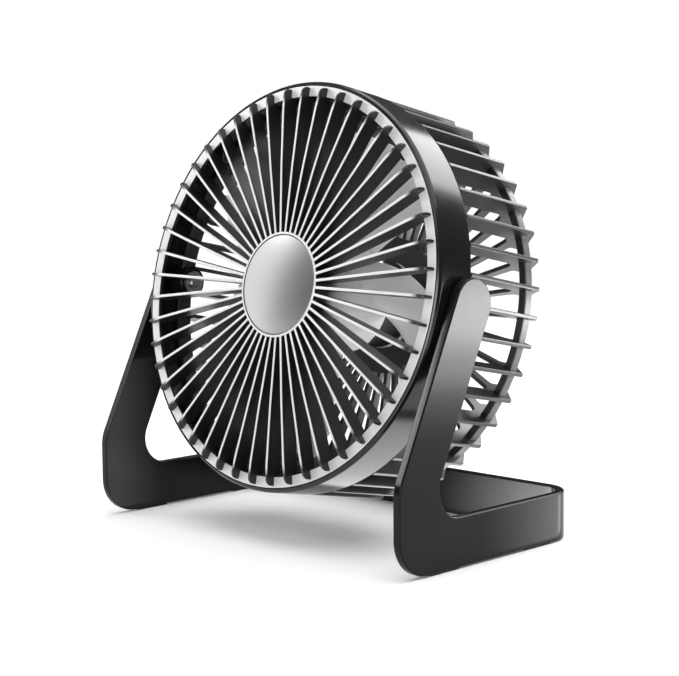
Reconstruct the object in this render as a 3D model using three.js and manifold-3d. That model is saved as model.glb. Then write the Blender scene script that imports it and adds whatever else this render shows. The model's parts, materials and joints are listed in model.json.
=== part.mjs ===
// Desk fan: a round fan head that tilts between the two arms of a one-piece U-shaped stand.
// Millimetres, +Z up, the fan blows towards -Y. The origin is on the table, under the middle of the fan.
//
// Everything in the head is described in the fan's own coordinates: a radius from its axis, and an axial
// distance along that axis, positive forwards and zero at the pivots.
import * as THREE from "three";
import { mergeVertices } from "three/addons/utils/BufferGeometryUtils.js";
import Module from "manifold-3d";

const wasm = await Module();
wasm.setup();

// ---- Driving dimensions ------------------------------------------------------------------------------

const PIVOT_HEIGHT = 82.8;
const PIVOT_Y = -11.05;
const HEAD_TILT = THREE.MathUtils.degToRad(11); // the fan looks up by this much at rest

// Stand
const STAND_WIDTH = 146;
const STAND_FRONT = PIVOT_Y - 34.1;
const STAND_REAR = PIVOT_Y + 54.2;
const PLATE = 3;
const PAD_HEIGHT = 0.5;
const BASE_TOP = 16.5;
const BEND_HEIGHT = 28.6; // where the upright front edge starts to lean back
const ARM_WIDTH = 16.5;
const ARM_END_DROP = 1; // the centre of the arm's round end lies this far below the pivot
const ARM_INNER = STAND_WIDTH / 2 - PLATE;

// Front ring
const RING_RADIUS = 69;
const RING_INNER = 66.5;
const RING_REAR = -2.3;
const RING_FRONT = 12.75;
const GRILLE_SEAT = 11.3; // axial position of the back of the front grille's rim

// Front grille
const SPOKES = 48;
const SPOKE_WIDTH = 1.05;
const SPOKE_ROOT = 17.25;
const FIRST_SPOKE = THREE.MathUtils.degToRad(-0.71);
const RIM_INNER = 63.85;
const RIM_OUTER = 67.45;
const HUB_RING_RADIUS = 17.8;
const HUB_RING_FRONT = 14.8;
const HUB_DISC_RADIUS = 16.85;

// Rear grille
const FINS = 45;
const FIN_WIDTH = 1.4;
const FIN_FRONT = RING_REAR - 0.3;
const FIN_REAR = -37.3;
const TAB_INNER = 57.5; // the tab behind each fin slopes from the fin's outer corner to this radius
const TAB_REAR = -45.8;
const FIRST_FIN = THREE.MathUtils.degToRad(-0.9);
const HUB_PLATE_RADIUS = 24.3;
const HUB_PLATE_FRONT = -38.5;
const HUB_PLATE_REAR = -40;
const HUB_WALL_REAR = -41.7;

// Impeller
const BLADES = 5;
const BLADE_TIP = 57;
const IMPELLER_HUB = 19;
const BLADE_FRONT = 3;
const BLADE_REAR = -19.5;
const BLADE_WRAP = THREE.MathUtils.degToRad(44); // how far round the axis one blade reaches
const BLADE_SWEEP = THREE.MathUtils.degToRad(-0.68); // per millimetre of radius
const BLADE_ROOT_ANGLE = THREE.MathUtils.degToRad(28); // front edge of the first blade where it meets the hub
const BLADE_THICKNESS = 1.5;

// Motor
const CAN_RADIUS = 15.5;
const CAN_FRONT = -8;
const CAN_REAR = -36.2;
const BELL_REAR = -38.3;
const SHAFT_RADIUS = 1;
const SHAFT_BORE = 1.06;
const MOTOR_SCREW_OFFSET = 9.5;
const COMMUTATOR = { radius: 3.4, rear: -33.9, front: -29.8 };

// Controls, inside the rear cover
const BOARD_FRONT = -41;
const BOARD_REAR = -42;
const COVER_FRONT = -42;
const COVER_REAR = -46.6;
const COVER_WALL = 1.2;
const COVER_SCREW_CIRCLE = 17;
const BUTTON_RADIUS = 6;

// Pivots
const EAR_RADIUS = 5.5;
const EAR_INNER = 61;
const STUD_RADIUS = 2.5;

const ROUND = 60; // segments of the large turned pieces
const MEDIUM_ROUND = 20;
const SMALL_ROUND = 14;
const FINE_ROUND = 10;
const OVERSHOOT = 1; // how far a cutting tool runs past the face it cuts

// ---- Materials ---------------------------------------------------------------------------------------

function material(color, roughness, metalness = 0) {
  return new THREE.MeshStandardMaterial({ color, roughness, metalness });
}

const blackPlastic = material(0x18181a, 0.42);
const silverPlastic = material(0xd6d7da, 0.38, 0.4);
const greyPlastic = material(0xa9abaf, 0.35);
const aluminium = material(0xc3c5c9, 0.3, 0.9);
const steel = material(0x9c9ea3, 0.35, 1);
const brass = material(0xb8954a, 0.35, 1);
const copper = material(0xb06a3a, 0.4, 1);
const magnetBlack = material(0x2b2b30, 0.8);
const rubber = material(0x101011, 0.9);
const boardGreen = material(0x1f5a37, 0.6);
const redSleeve = material(0xa32020, 0.5);
const nylon = material(0xe6e2d6, 0.5);

// ---- Solids ------------------------------------------------------------------------------------------

// A closed geometry as a solid that can be joined and cut.
function solid(geometry) {
  const loose = geometry.index ? geometry.toNonIndexed() : geometry;
  const bare = new THREE.BufferGeometry().setAttribute("position", loose.getAttribute("position"));
  const merged = mergeVertices(bare, 1e-4);
  const corners = new Uint32Array(merged.index.array);
  const make = () =>
    new wasm.Manifold(
      new wasm.Mesh({ numProp: 3, vertProperties: merged.attributes.position.array, triVerts: corners }),
    );
  const made = make();
  if (made.volume() > 0) return made;
  for (let i = 0; i < corners.length; i += 3) {
    [corners[i + 1], corners[i + 2]] = [corners[i + 2], corners[i + 1]];
  }
  return make();
}

function join(first, ...others) {
  return others.reduce((whole, piece) => whole.add(piece), first);
}

function cut(first, ...tools) {
  return tools.reduce((whole, tool) => whole.subtract(tool), first);
}

function geometryOf(manifold) {
  const { vertProperties, triVerts } = manifold.getMesh();
  return new THREE.BufferGeometry()
    .setAttribute("position", new THREE.BufferAttribute(new Float32Array(vertProperties), 3))
    .setIndex(new THREE.BufferAttribute(new Uint32Array(triVerts), 1));
}

function addMesh(parent, name, shape, surface) {
  const geometry = geometryOf(shape);
  geometry.computeVertexNormals();
  const mesh = new THREE.Mesh(geometry, surface);
  mesh.name = name;
  parent.add(mesh);
}

// Points of a closed outline through corners [x, y, radius], each rounded by an arc of that radius.
function roundedOutline(corners, steps = 6) {
  const points = [];
  corners.forEach(([x, y, radius = 0], index) => {
    const corner = new THREE.Vector2(x, y);
    if (!radius) {
      points.push(corner);
      return;
    }
    const before = corners.at(index - 1);
    const after = corners[(index + 1) % corners.length];
    const back = new THREE.Vector2(before[0] - x, before[1] - y).normalize();
    const ahead = new THREE.Vector2(after[0] - x, after[1] - y).normalize();
    const half = Math.acos(back.dot(ahead)) / 2;
    const middle = back.clone().add(ahead).normalize();
    const centre = corner.clone().addScaledVector(middle, radius / Math.sin(half));
    const start = corner.clone().addScaledVector(back, radius / Math.tan(half));
    const sweep = (2 * half - Math.PI) * Math.sign(back.cross(ahead));
    for (let k = 0; k <= steps; k++) {
      points.push(start.clone().rotateAround(centre, (sweep * k) / steps));
    }
  });
  return points;
}

// A flat outline made thick along Z, centred on z = 0 unless it is lifted.
function slab(outline, thickness, holes = []) {
  const shape = new THREE.Shape(outline);
  shape.holes = holes.map((hole) => new THREE.Path(hole));
  const extruded = new THREE.ExtrudeGeometry(shape, { depth: thickness, bevelEnabled: false });
  return extruded.translate(0, 0, -thickness / 2);
}

function circle(radius, segments = SMALL_ROUND, x = 0, y = 0) {
  return Array.from({ length: segments }, (_, k) => {
    const angle = (2 * Math.PI * k) / segments;
    return new THREE.Vector2(x + radius * Math.cos(angle), y + radius * Math.sin(angle));
  });
}

function rectangle(halfWidth, halfHeight) {
  const corners = [
    [-halfWidth, -halfHeight],
    [halfWidth, -halfHeight],
    [halfWidth, halfHeight],
    [-halfWidth, halfHeight],
  ];
  return corners.map(([x, y]) => new THREE.Vector2(x, y));
}

// A block given by its lowest and highest corners.
function block(low, high) {
  const size = high.map((value, axis) => value - low[axis]);
  return new THREE.BoxGeometry(...size).translate(...low.map((value, axis) => value + size[axis] / 2));
}

// ---- Fan coordinates: [radius, axial] pairs turned or placed about the fan's axis, which is -Y ----------

function turned(profile, segments = ROUND, firstAngle = 0) {
  const points = profile.map(([radius, axial]) => new THREE.Vector2(radius, -axial));
  return new THREE.LatheGeometry(points, segments, Math.PI / 2 - firstAngle);
}

function ringProfile(inner, outer, rear, front) {
  return [
    [inner, rear],
    [outer, rear],
    [outer, front],
    [inner, front],
    [inner, rear],
  ];
}

function tube(inner, outer, rear, front, segments = SMALL_ROUND) {
  return turned(ringProfile(inner, outer, rear, front), segments);
}

function rod(radius, rear, front, segments = FINE_ROUND) {
  return turned(
    [
      [0, rear],
      [radius, rear],
      [radius, front],
      [0, front],
    ],
    segments,
  );
}

// Moves a piece from the axis to a place at this radius and angle; the angle runs from +X upwards.
function placed(geometry, radius, angle) {
  return geometry.translate(radius * Math.cos(angle), 0, radius * Math.sin(angle));
}

// A thin plate in a plane through the axis, from its outline of [radius, axial, corner radius].
function radialPlate(outline, width, angle, steps = 3) {
  const points = roundedOutline(outline, steps).map(({ x, y }) => new THREE.Vector2(x, -y));
  return slab(points, width).rotateY(-angle);
}

// An outline in the plane across the axis made thick from the rear to the front position.
function acrossAxis(outline, rear, front, holes = []) {
  return slab(outline, front - rear, holes)
    .rotateX(Math.PI / 2)
    .translate(0, -(front + rear) / 2, 0);
}

// A screw with its head at the rear, driven forwards.
function screw(headRadius, headHeight, shankRadius, headFront, tip) {
  const headRear = headFront - headHeight;
  const slot = block([-headRadius, -headRear - 0.5, -0.3], [headRadius, -headRear + OVERSHOOT, 0.3]);
  const body = turned(
    [
      [0, headRear],
      [headRadius * 0.8, headRear],
      [headRadius, headRear + headHeight * 0.4],
      [headRadius, headFront],
      [shankRadius, headFront],
      [shankRadius, tip - shankRadius],
      [0, tip],
    ],
    FINE_ROUND,
  );
  return { body, slot };
}

function addScrew(parent, name, shape, radius, angle) {
  const body = solid(placed(shape.body.clone(), radius, angle));
  const slot = solid(placed(shape.slot.clone(), radius, angle));
  addMesh(parent, name, cut(body, slot), steel);
}

// ---- Stand -------------------------------------------------------------------------------------------

function standOutlineFromTheSide() {
  const endCentre = new THREE.Vector2(PIVOT_Y, PIVOT_HEIGHT - ARM_END_DROP);
  const toEnd = endCentre.clone().sub(new THREE.Vector2(STAND_FRONT, BEND_HEIGHT));
  const end = ARM_WIDTH / 2;
  const lean = toEnd.angle() + Math.asin(end / toEnd.length());
  const along = new THREE.Vector2(Math.cos(lean), Math.sin(lean));
  const across = new THREE.Vector2(along.y, -along.x);
  const tip = endCentre.clone().addScaledVector(along, end);
  const frontTip = tip.clone().addScaledVector(across, -end);
  const rearTip = tip.clone().addScaledVector(across, end);
  const footing = rearTip.clone().addScaledVector(along, (BASE_TOP - rearTip.y) / along.y);
  const roundEnd = end * 0.998;
  return roundedOutline(
    [
      [STAND_FRONT, PAD_HEIGHT, 12.5],
      [STAND_FRONT, BEND_HEIGHT, 14],
      [frontTip.x, frontTip.y, roundEnd],
      [rearTip.x, rearTip.y, roundEnd],
      [footing.x, BASE_TOP, 9.5],
      [STAND_REAR, BASE_TOP],
      [STAND_REAR, PAD_HEIGHT],
    ],
    8,
  );
}

function standOutlineFromAbove() {
  const outer = STAND_WIDTH / 2;
  const front = STAND_FRONT - OVERSHOOT;
  const rearInside = STAND_REAR - PLATE;
  const outerCorner = 12;
  const innerCorner = outerCorner - PLATE;
  const corners = [
    [-outer, front],
    [-outer, STAND_REAR, outerCorner],
    [outer, STAND_REAR, outerCorner],
    [outer, front],
    [ARM_INNER, front],
    [ARM_INNER, rearInside, innerCorner],
    [-ARM_INNER, rearInside, innerCorner],
    [-ARM_INNER, front],
  ];
  return roundedOutline(corners, 8);
}

// Turns an outline in the YZ plane into a solid that reaches across the whole width.
function acrossWidth(outline, width) {
  const toWorld = new THREE.Matrix4().makeBasis(
    new THREE.Vector3(0, 1, 0),
    new THREE.Vector3(0, 0, 1),
    new THREE.Vector3(1, 0, 0),
  );
  return slab(outline, width).applyMatrix4(toWorld);
}

// A turned piece on the line of the pivots: its profile is [radius, distance from the middle of the fan].
function onPivotLine(profile, side, segments = SMALL_ROUND) {
  const points = profile.map(([radius, x]) => new THREE.Vector2(radius, x));
  return new THREE.LatheGeometry(points, segments).rotateZ(-side * (Math.PI / 2));
}

const COVER_SCREW_ANGLES = [90, 210, 330].map(THREE.MathUtils.degToRad);
const MOTOR_SCREW_ANGLES = [0, Math.PI];
const MOTOR_LEADS = [
  { name: "red", x: -3.2, z: -11.5, sleeve: redSleeve },
  { name: "black", x: 3.2, z: -11.5, sleeve: blackPlastic },
];
const STUD_FLANGE = { radius: 6, inner: ARM_INNER + 0.2, outer: ARM_INNER + 1.5 };
const STUD_END = 61.2;
const WASHER_THICKNESS = 0.6;

function buildStand(stand) {
  const pocketRadius = STUD_FLANGE.radius + 0.2;
  const height = PIVOT_HEIGHT + ARM_WIDTH;
  const pockets = [-1, 1].map((side) =>
    solid(
      onPivotLine(
        [
          [0, ARM_INNER - OVERSHOOT],
          [pocketRadius, ARM_INNER - OVERSHOOT],
          [pocketRadius, STUD_FLANGE.outer + 0.1],
          [0, STUD_FLANGE.outer + 0.1],
        ],
        side,
      ).translate(0, PIVOT_Y, PIVOT_HEIGHT),
    ),
  );
  const plan = solid(slab(standOutlineFromAbove(), height).translate(0, 0, height / 2));
  const sides = solid(acrossWidth(standOutlineFromTheSide(), STAND_WIDTH + 2 * OVERSHOOT));
  addMesh(stand, "stand_frame", cut(plan.intersect(sides), ...pockets), blackPlastic);

  const padLength = 14;
  const padWidth = PLATE - 0.6;
  const padCorner = 1.1;
  const padCentre = STAND_WIDTH / 2 - PLATE / 2;
  const fromFront = 14;
  const fromRear = 14;
  const padPlaces = {
    front: STAND_FRONT + fromFront + padLength / 2,
    rear: STAND_REAR - fromRear - padLength / 2,
  };
  for (const [end, y] of Object.entries(padPlaces)) {
    for (const [side, name] of [
      [-1, "left"],
      [1, "right"],
    ]) {
      const outline = roundedOutline(
        [
          [-padWidth / 2, -padLength / 2, padCorner],
          [padWidth / 2, -padLength / 2, padCorner],
          [padWidth / 2, padLength / 2, padCorner],
          [-padWidth / 2, padLength / 2, padCorner],
        ],
        3,
      );
      const pad = slab(outline, PAD_HEIGHT).translate(side * padCentre, y, PAD_HEIGHT / 2);
      addMesh(stand, `foot_pad_${end}_${name}`, solid(pad), rubber);
    }
  }
}

// The stud is moulded into the arm; the ear of the head turns on it, held by a screw and a spring washer.
function buildPivots(stand) {
  for (const [side, name] of [
    [-1, "left"],
    [1, "right"],
  ]) {
    const place = (profile) => solid(onPivotLine(profile, side).translate(0, PIVOT_Y, PIVOT_HEIGHT));
    const threadRadius = 1.3;
    const stud = place([
      [threadRadius, STUD_END],
      [STUD_RADIUS, STUD_END],
      [STUD_RADIUS, STUD_FLANGE.inner],
      [STUD_FLANGE.radius, STUD_FLANGE.inner],
      [STUD_FLANGE.radius, STUD_FLANGE.outer],
      [0, STUD_FLANGE.outer],
      [0, STUD_END + 6],
      [threadRadius, STUD_END + 6],
      [threadRadius, STUD_END],
    ]);
    const frictionInner = RING_RADIUS + 0.15;
    const frictionOuter = frictionInner + WASHER_THICKNESS;
    const friction = place(ringProfile(STUD_RADIUS + 0.2, 5.2, frictionInner, frictionOuter));
    const springOuter = EAR_INNER - 0.1;
    const springInner = springOuter - WASHER_THICKNESS;
    const spring = place(ringProfile(threadRadius + 0.1, 4.2, springInner, springOuter));
    const headOuter = springInner - 0.1;
    const headInner = headOuter - 1.4;
    const fastener = place([
      [0, headInner],
      [2.1, headInner],
      [2.6, headInner + 0.5],
      [2.6, headOuter],
      [threadRadius - 0.2, headOuter],
      [threadRadius - 0.2, STUD_END + 4],
      [0, STUD_END + 5],
    ]);
    addMesh(stand, `pivot_stud_${name}`, stud, steel);
    addMesh(stand, `friction_washer_${name}`, friction, rubber);
    addMesh(stand, `spring_washer_${name}`, spring, steel);
    addMesh(stand, `pivot_screw_${name}`, fastener, steel);
  }
}

// ---- Head: front ring and front grille -----------------------------------------------------------------

const QUARTERS = [45, 135, 225, 315].map(THREE.MathUtils.degToRad);
const LUG_RADIUS = 2.2;
const BOSS_RADIUS = 3;
const BOSS_FRONT = 9.4;
const LUG_CIRCLE = 63.9;
const LUG_REAR = 0.5;
const LUG_FRONT = 2.5;

// The round ear that the pivot stud runs through, inside the ring.
function ear(side, radius, inner, outer) {
  return solid(
    onPivotLine(
      [
        [0, inner],
        [radius, inner],
        [radius, outer],
        [0, outer],
      ],
      side,
      SMALL_ROUND,
    ),
  );
}

function buildFrontRing(head) {
  const band = turned([
    [RING_INNER, RING_REAR],
    [RING_RADIUS, RING_REAR],
    [RING_RADIUS, RING_FRONT - 1.2],
    [RING_RADIUS - 0.5, RING_FRONT - 0.35],
    [RIM_OUTER + 0.35, RING_FRONT],
    [RIM_OUTER + 0.35, GRILLE_SEAT - 0.3],
    [RING_INNER, GRILLE_SEAT - 0.3],
    [RING_INNER, RING_REAR],
  ]);
  const ears = [-1, 1].map((side) => ear(side, EAR_RADIUS, EAR_INNER, RING_RADIUS - 0.4));
  const studHoles = [-1, 1].map((side) =>
    ear(side, STUD_RADIUS + 0.09, EAR_INNER - OVERSHOOT, RING_RADIUS + OVERSHOOT),
  );
  const bossRear = LUG_FRONT + 0.3;
  const bosses = QUARTERS.map((angle) =>
    solid(placed(rod(BOSS_RADIUS, bossRear, BOSS_FRONT), LUG_CIRCLE, angle)),
  );
  const screwHoles = QUARTERS.map((angle) =>
    solid(placed(rod(1.25, bossRear - OVERSHOOT, BOSS_FRONT - 0.8), LUG_CIRCLE, angle)),
  );
  const whole = join(solid(band), ...ears, ...bosses);
  addMesh(head, "front_ring", cut(whole, ...studHoles, ...screwHoles), blackPlastic);
}

// The spokes bulge forwards towards the rim and end in a rounded nose over it.
function spokeOutline() {
  const rootRear = 8.8;
  return [
    [SPOKE_ROOT, HUB_RING_FRONT - 0.1],
    [40, 15.7],
    [60, 16.1],
    [64.9, 15.8],
    [66.7, 14],
    [66.8, 12.2],
    [64.4, 12],
    [62.8, 10.2],
    [SPOKE_ROOT, rootRear],
  ];
}

function buildFrontGrille(head) {
  const rim = turned(ringProfile(RIM_INNER, RIM_OUTER, GRILLE_SEAT, RING_FRONT), SPOKES);
  const pegHole = 2.2;
  const seatRear = 12;
  const seatFront = 13.5;
  const skirtInner = 16;
  const skirtRear = 8.4;
  const recess = HUB_DISC_RADIUS + 0.25;
  const hubSeat = turned(
    [
      [pegHole, seatRear],
      [skirtInner, seatRear],
      [skirtInner, skirtRear],
      [HUB_RING_RADIUS, skirtRear],
      [HUB_RING_RADIUS, HUB_RING_FRONT],
      [recess, HUB_RING_FRONT],
      [recess, seatFront],
      [pegHole, seatFront],
      [pegHole, seatRear],
    ],
    MEDIUM_ROUND,
  );
  const spokes = Array.from({ length: SPOKES }, (_, k) =>
    solid(radialPlate(spokeOutline(), SPOKE_WIDTH, FIRST_SPOKE + (2 * Math.PI * k) / SPOKES)),
  );
  const clipCount = 6;
  const clips = Array.from({ length: clipCount }, (_, k) => {
    const clip = block([65.1, -GRILLE_SEAT - 0.5, -3], [66.2, -GRILLE_SEAT + 3.1, 3]);
    return solid(clip.rotateY((-(k + 0.5) * 2 * Math.PI) / clipCount));
  });
  addMesh(head, "front_grille", join(solid(rim), solid(hubSeat), ...spokes, ...clips), silverPlastic);

  const peg = pegHole - 0.2;
  const discRear = seatFront + 0.2;
  const disc = turned(
    [
      [0, seatRear - 0.4],
      [peg, seatRear - 0.4],
      [peg, discRear],
      [HUB_DISC_RADIUS, discRear],
      [HUB_DISC_RADIUS, 14.6],
      [10, 15.15],
      [0, 15.3],
    ],
    MEDIUM_ROUND,
  );
  addMesh(head, "hub_disc", solid(disc), aluminium);
}

// ---- Head: rear grille and the screws that hold it -------------------------------------------------------

// Each fin runs back from the ring to a sloping tab, and inwards to the hub plate, in one piece.
function finOutline() {
  const sideInner = 62.4;
  const root = HUB_PLATE_RADIUS - 1.2;
  return [
    [RING_RADIUS, FIN_FRONT],
    [sideInner, FIN_FRONT],
    [sideInner, -32.6],
    [root, HUB_PLATE_FRONT - 0.3],
    [root, HUB_WALL_REAR + 0.4],
    [TAB_INNER, FIN_REAR - 1],
    [TAB_INNER, TAB_REAR + 0.8],
    [TAB_INNER + 1.2, TAB_REAR],
    [RING_RADIUS, FIN_REAR],
  ];
}

function buildRearGrille(head) {
  const spigot = turned(ringProfile(64.6, 66.2, FIN_FRONT - 0.5, LUG_FRONT), FINS, FIRST_FIN);
  const rearRing = turned(ringProfile(63.6, 66.6, FIN_REAR + 0.6, FIN_REAR + 4.1), FINS, FIRST_FIN);
  const bearingHole = 4.3;
  const wallInner = HUB_PLATE_RADIUS - 2;
  const hub = turned(
    [
      [bearingHole, HUB_PLATE_REAR],
      [bearingHole, HUB_PLATE_FRONT],
      [HUB_PLATE_RADIUS, HUB_PLATE_FRONT],
      [HUB_PLATE_RADIUS, HUB_WALL_REAR],
      [wallInner, HUB_WALL_REAR],
      [wallInner, HUB_PLATE_REAR],
      [bearingHole, HUB_PLATE_REAR],
    ],
    FINS,
    FIRST_FIN,
  );
  const fins = Array.from({ length: FINS }, (_, k) =>
    solid(radialPlate(finOutline(), FIN_WIDTH, FIRST_FIN + (2 * Math.PI * k) / FINS)),
  );
  const lugs = QUARTERS.map((angle) =>
    solid(placed(rod(LUG_RADIUS, LUG_REAR, LUG_FRONT), LUG_CIRCLE, angle)),
  );
  const posts = COVER_SCREW_ANGLES.map((angle) =>
    solid(placed(rod(2.3, BOARD_FRONT + 0.1, HUB_PLATE_REAR + 0.5), COVER_SCREW_CIRCLE, angle)),
  );
  const throughPlate = (radius) => rod(radius, HUB_WALL_REAR - OVERSHOOT, HUB_PLATE_FRONT + OVERSHOOT);
  const holes = [
    ...QUARTERS.map((angle) => solid(placed(rod(1.4, -3, 4), LUG_CIRCLE, angle))),
    ...QUARTERS.map((angle) => solid(placed(rod(2.5, FIN_FRONT - 2.9, LUG_REAR), LUG_CIRCLE, angle))),
    ...MOTOR_SCREW_ANGLES.map((angle) => solid(placed(throughPlate(1.45), MOTOR_SCREW_OFFSET, angle))),
    ...COVER_SCREW_ANGLES.map((angle) => solid(placed(throughPlate(1.3), COVER_SCREW_CIRCLE, angle))),
    ...MOTOR_LEADS.map(({ x, z }) => solid(throughPlate(1.1).translate(x, 0, z))),
    ...[-1, 1].map((side) => ear(side, EAR_RADIUS + 0.5, EAR_INNER - 2, RING_RADIUS + 3)),
  ];
  const whole = join(solid(spigot), solid(rearRing), solid(hub), ...fins, ...lugs, ...posts);
  addMesh(head, "rear_grille", cut(whole, ...holes), blackPlastic);

  const shape = screw(2.1, 1.5, 1.05, LUG_REAR - 0.3, 8);
  QUARTERS.forEach((angle, k) => addScrew(head, `housing_screw_${k + 1}`, shape, LUG_CIRCLE, angle));
}

// ---- Head: motor ---------------------------------------------------------------------------------------

function magnetOutline(middle) {
  const spread = THREE.MathUtils.degToRad(64);
  const steps = 10;
  const outer = CAN_RADIUS - 1.3;
  const inner = 12;
  const arc = (radius, from, to) =>
    Array.from({ length: steps + 1 }, (_, k) => {
      const angle = middle + from + ((to - from) * k) / steps;
      return new THREE.Vector2(radius * Math.cos(angle), radius * Math.sin(angle));
    });
  return [...arc(outer, -spread, spread), ...arc(inner, spread, -spread)];
}

function buildMotor(head) {
  const bushRadius = 3;
  const bushSeat = bushRadius + 0.15;
  const canWallFront = CAN_FRONT - 1.2;
  const collarFront = CAN_FRONT + 1.6;
  const can = turned(
    [
      [bushSeat, canWallFront],
      [bushSeat, collarFront],
      [4.3, collarFront],
      [4.3, CAN_FRONT],
      [CAN_RADIUS - 0.8, CAN_FRONT],
      [CAN_RADIUS, CAN_FRONT - 0.8],
      [CAN_RADIUS, CAN_REAR],
      [CAN_RADIUS - 1, CAN_REAR],
      [CAN_RADIUS - 1, canWallFront],
      [bushSeat, canWallFront],
    ],
    MEDIUM_ROUND,
  );
  addMesh(head, "motor_can", solid(can), steel);

  const collarRear = BELL_REAR - 1.3;
  const bellFront = CAN_REAR + 1.6;
  const spigotRadius = CAN_RADIUS - 1.2;
  const bell = turned(
    [
      [bushSeat, collarRear],
      [bushSeat, bellFront],
      [spigotRadius, bellFront],
      [spigotRadius, CAN_REAR - 0.2],
      [CAN_RADIUS, CAN_REAR - 0.2],
      [CAN_RADIUS, BELL_REAR],
      [4, BELL_REAR],
      [4, collarRear],
      [bushSeat, collarRear],
    ],
    MEDIUM_ROUND,
  );
  const screwHole = rod(1.3, collarRear - OVERSHOOT, bellFront + OVERSHOOT);
  const screwHoles = MOTOR_SCREW_ANGLES.map((angle) =>
    solid(placed(screwHole.clone(), MOTOR_SCREW_OFFSET, angle)),
  );
  addMesh(head, "motor_end_bell", cut(solid(bell), ...screwHoles), nylon);

  const frontBush = tube(SHAFT_BORE, bushRadius, canWallFront, collarFront - 0.1);
  addMesh(head, "front_bush", solid(frontBush), brass);
  const rearBush = tube(SHAFT_BORE, bushRadius, collarRear + 0.1, collarRear + 3);
  addMesh(head, "rear_bush", solid(rearBush), brass);
  const magnetPlaces = { upper: Math.PI / 2, lower: -Math.PI / 2 };
  for (const [name, middle] of Object.entries(magnetPlaces)) {
    const magnet = acrossAxis(magnetOutline(middle), CAN_REAR + 6.2, CAN_FRONT - 3);
    addMesh(head, `magnet_${name}`, solid(magnet), magnetBlack);
  }
  for (const [side, name] of [
    [-1, "left"],
    [1, "right"],
  ]) {
    const inner = COMMUTATOR.radius + 0.2;
    const length = 4.4;
    const low = side > 0 ? inner : -inner - length;
    const middle = (COMMUTATOR.front + COMMUTATOR.rear) / 2;
    const brush = block([low, -middle - 1, -1.2], [low + length, -middle + 1, 1.2]);
    addMesh(head, `carbon_brush_${name}`, solid(brush), magnetBlack);
  }
  const shape = screw(2.2, 1.3, 1.05, HUB_PLATE_REAR - 0.3, CAN_REAR + 1);
  MOTOR_SCREW_ANGLES.forEach((angle, k) => {
    addScrew(head, `motor_screw_${k + 1}`, shape, MOTOR_SCREW_OFFSET, angle);
  });
  for (const { name, x, z, sleeve } of MOTOR_LEADS) {
    const lead = rod(0.75, BOARD_FRONT + 0.1, BELL_REAR - 0.1).translate(x, 0, z);
    addMesh(head, `motor_lead_${name}`, solid(lead), sleeve);
  }
}

// ---- Head: controls and rear cover -----------------------------------------------------------------------

const PORT = { width: 9, height: 3.2, depth: 7, mouth: -24 };
const PLUNGER_RADIUS = 1.6;

function buildControls(head) {
  const boardHoles = [
    ...MOTOR_SCREW_ANGLES.map((angle) =>
      circle(2.7, FINE_ROUND, MOTOR_SCREW_OFFSET * Math.cos(angle), 0),
    ),
    ...COVER_SCREW_ANGLES.map((angle) =>
      circle(1.35, 8, COVER_SCREW_CIRCLE * Math.cos(angle), COVER_SCREW_CIRCLE * Math.sin(angle)),
    ),
  ];
  const board = acrossAxis(circle(21.2, MEDIUM_ROUND), BOARD_REAR, BOARD_FRONT, boardHoles);
  addMesh(head, "circuit_board", solid(board), boardGreen);

  const onBoard = -BOARD_REAR + 0.05;
  const housing = block([-3, onBoard, -3], [3, onBoard + 1.85, 3]);
  const plungerWell = rod(PLUNGER_RADIUS + 0.2, BOARD_REAR - 3, BOARD_REAR - 0.5);
  addMesh(head, "switch_housing", cut(solid(housing), solid(plungerWell)), magnetBlack);

  const chip = block([-11, onBoard, 8], [-6, onBoard + 1.55, 12]);
  addMesh(head, "speed_chip", solid(chip), magnetBlack);
  const capacitor = rod(1.5, -3.5, 3.5).rotateZ(Math.PI / 2).translate(11.5, onBoard + 1.55, 9);
  addMesh(head, "capacitor", solid(capacitor), aluminium);

  const portFront = onBoard;
  const portRear = portFront + PORT.height;
  const portTop = PORT.mouth + PORT.depth;
  const halfWidth = PORT.width / 2;
  const shell = block([-halfWidth, portFront, PORT.mouth], [halfWidth, portRear, portTop]);
  const wall = 0.35;
  const hollow = block(
    [-halfWidth + wall, portFront + wall, PORT.mouth - OVERSHOOT],
    [halfWidth - wall, portRear - wall, portTop - 0.8],
  );
  addMesh(head, "usb_inlet", cut(solid(shell), solid(hollow)), steel);
  const middle = (portFront + portRear) / 2;
  const tongue = block([-3.2, middle - 0.35, PORT.mouth + 1], [3.2, middle + 0.35, portTop - 0.9]);
  addMesh(head, "usb_contact_tongue", solid(tongue), magnetBlack);
}

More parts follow.
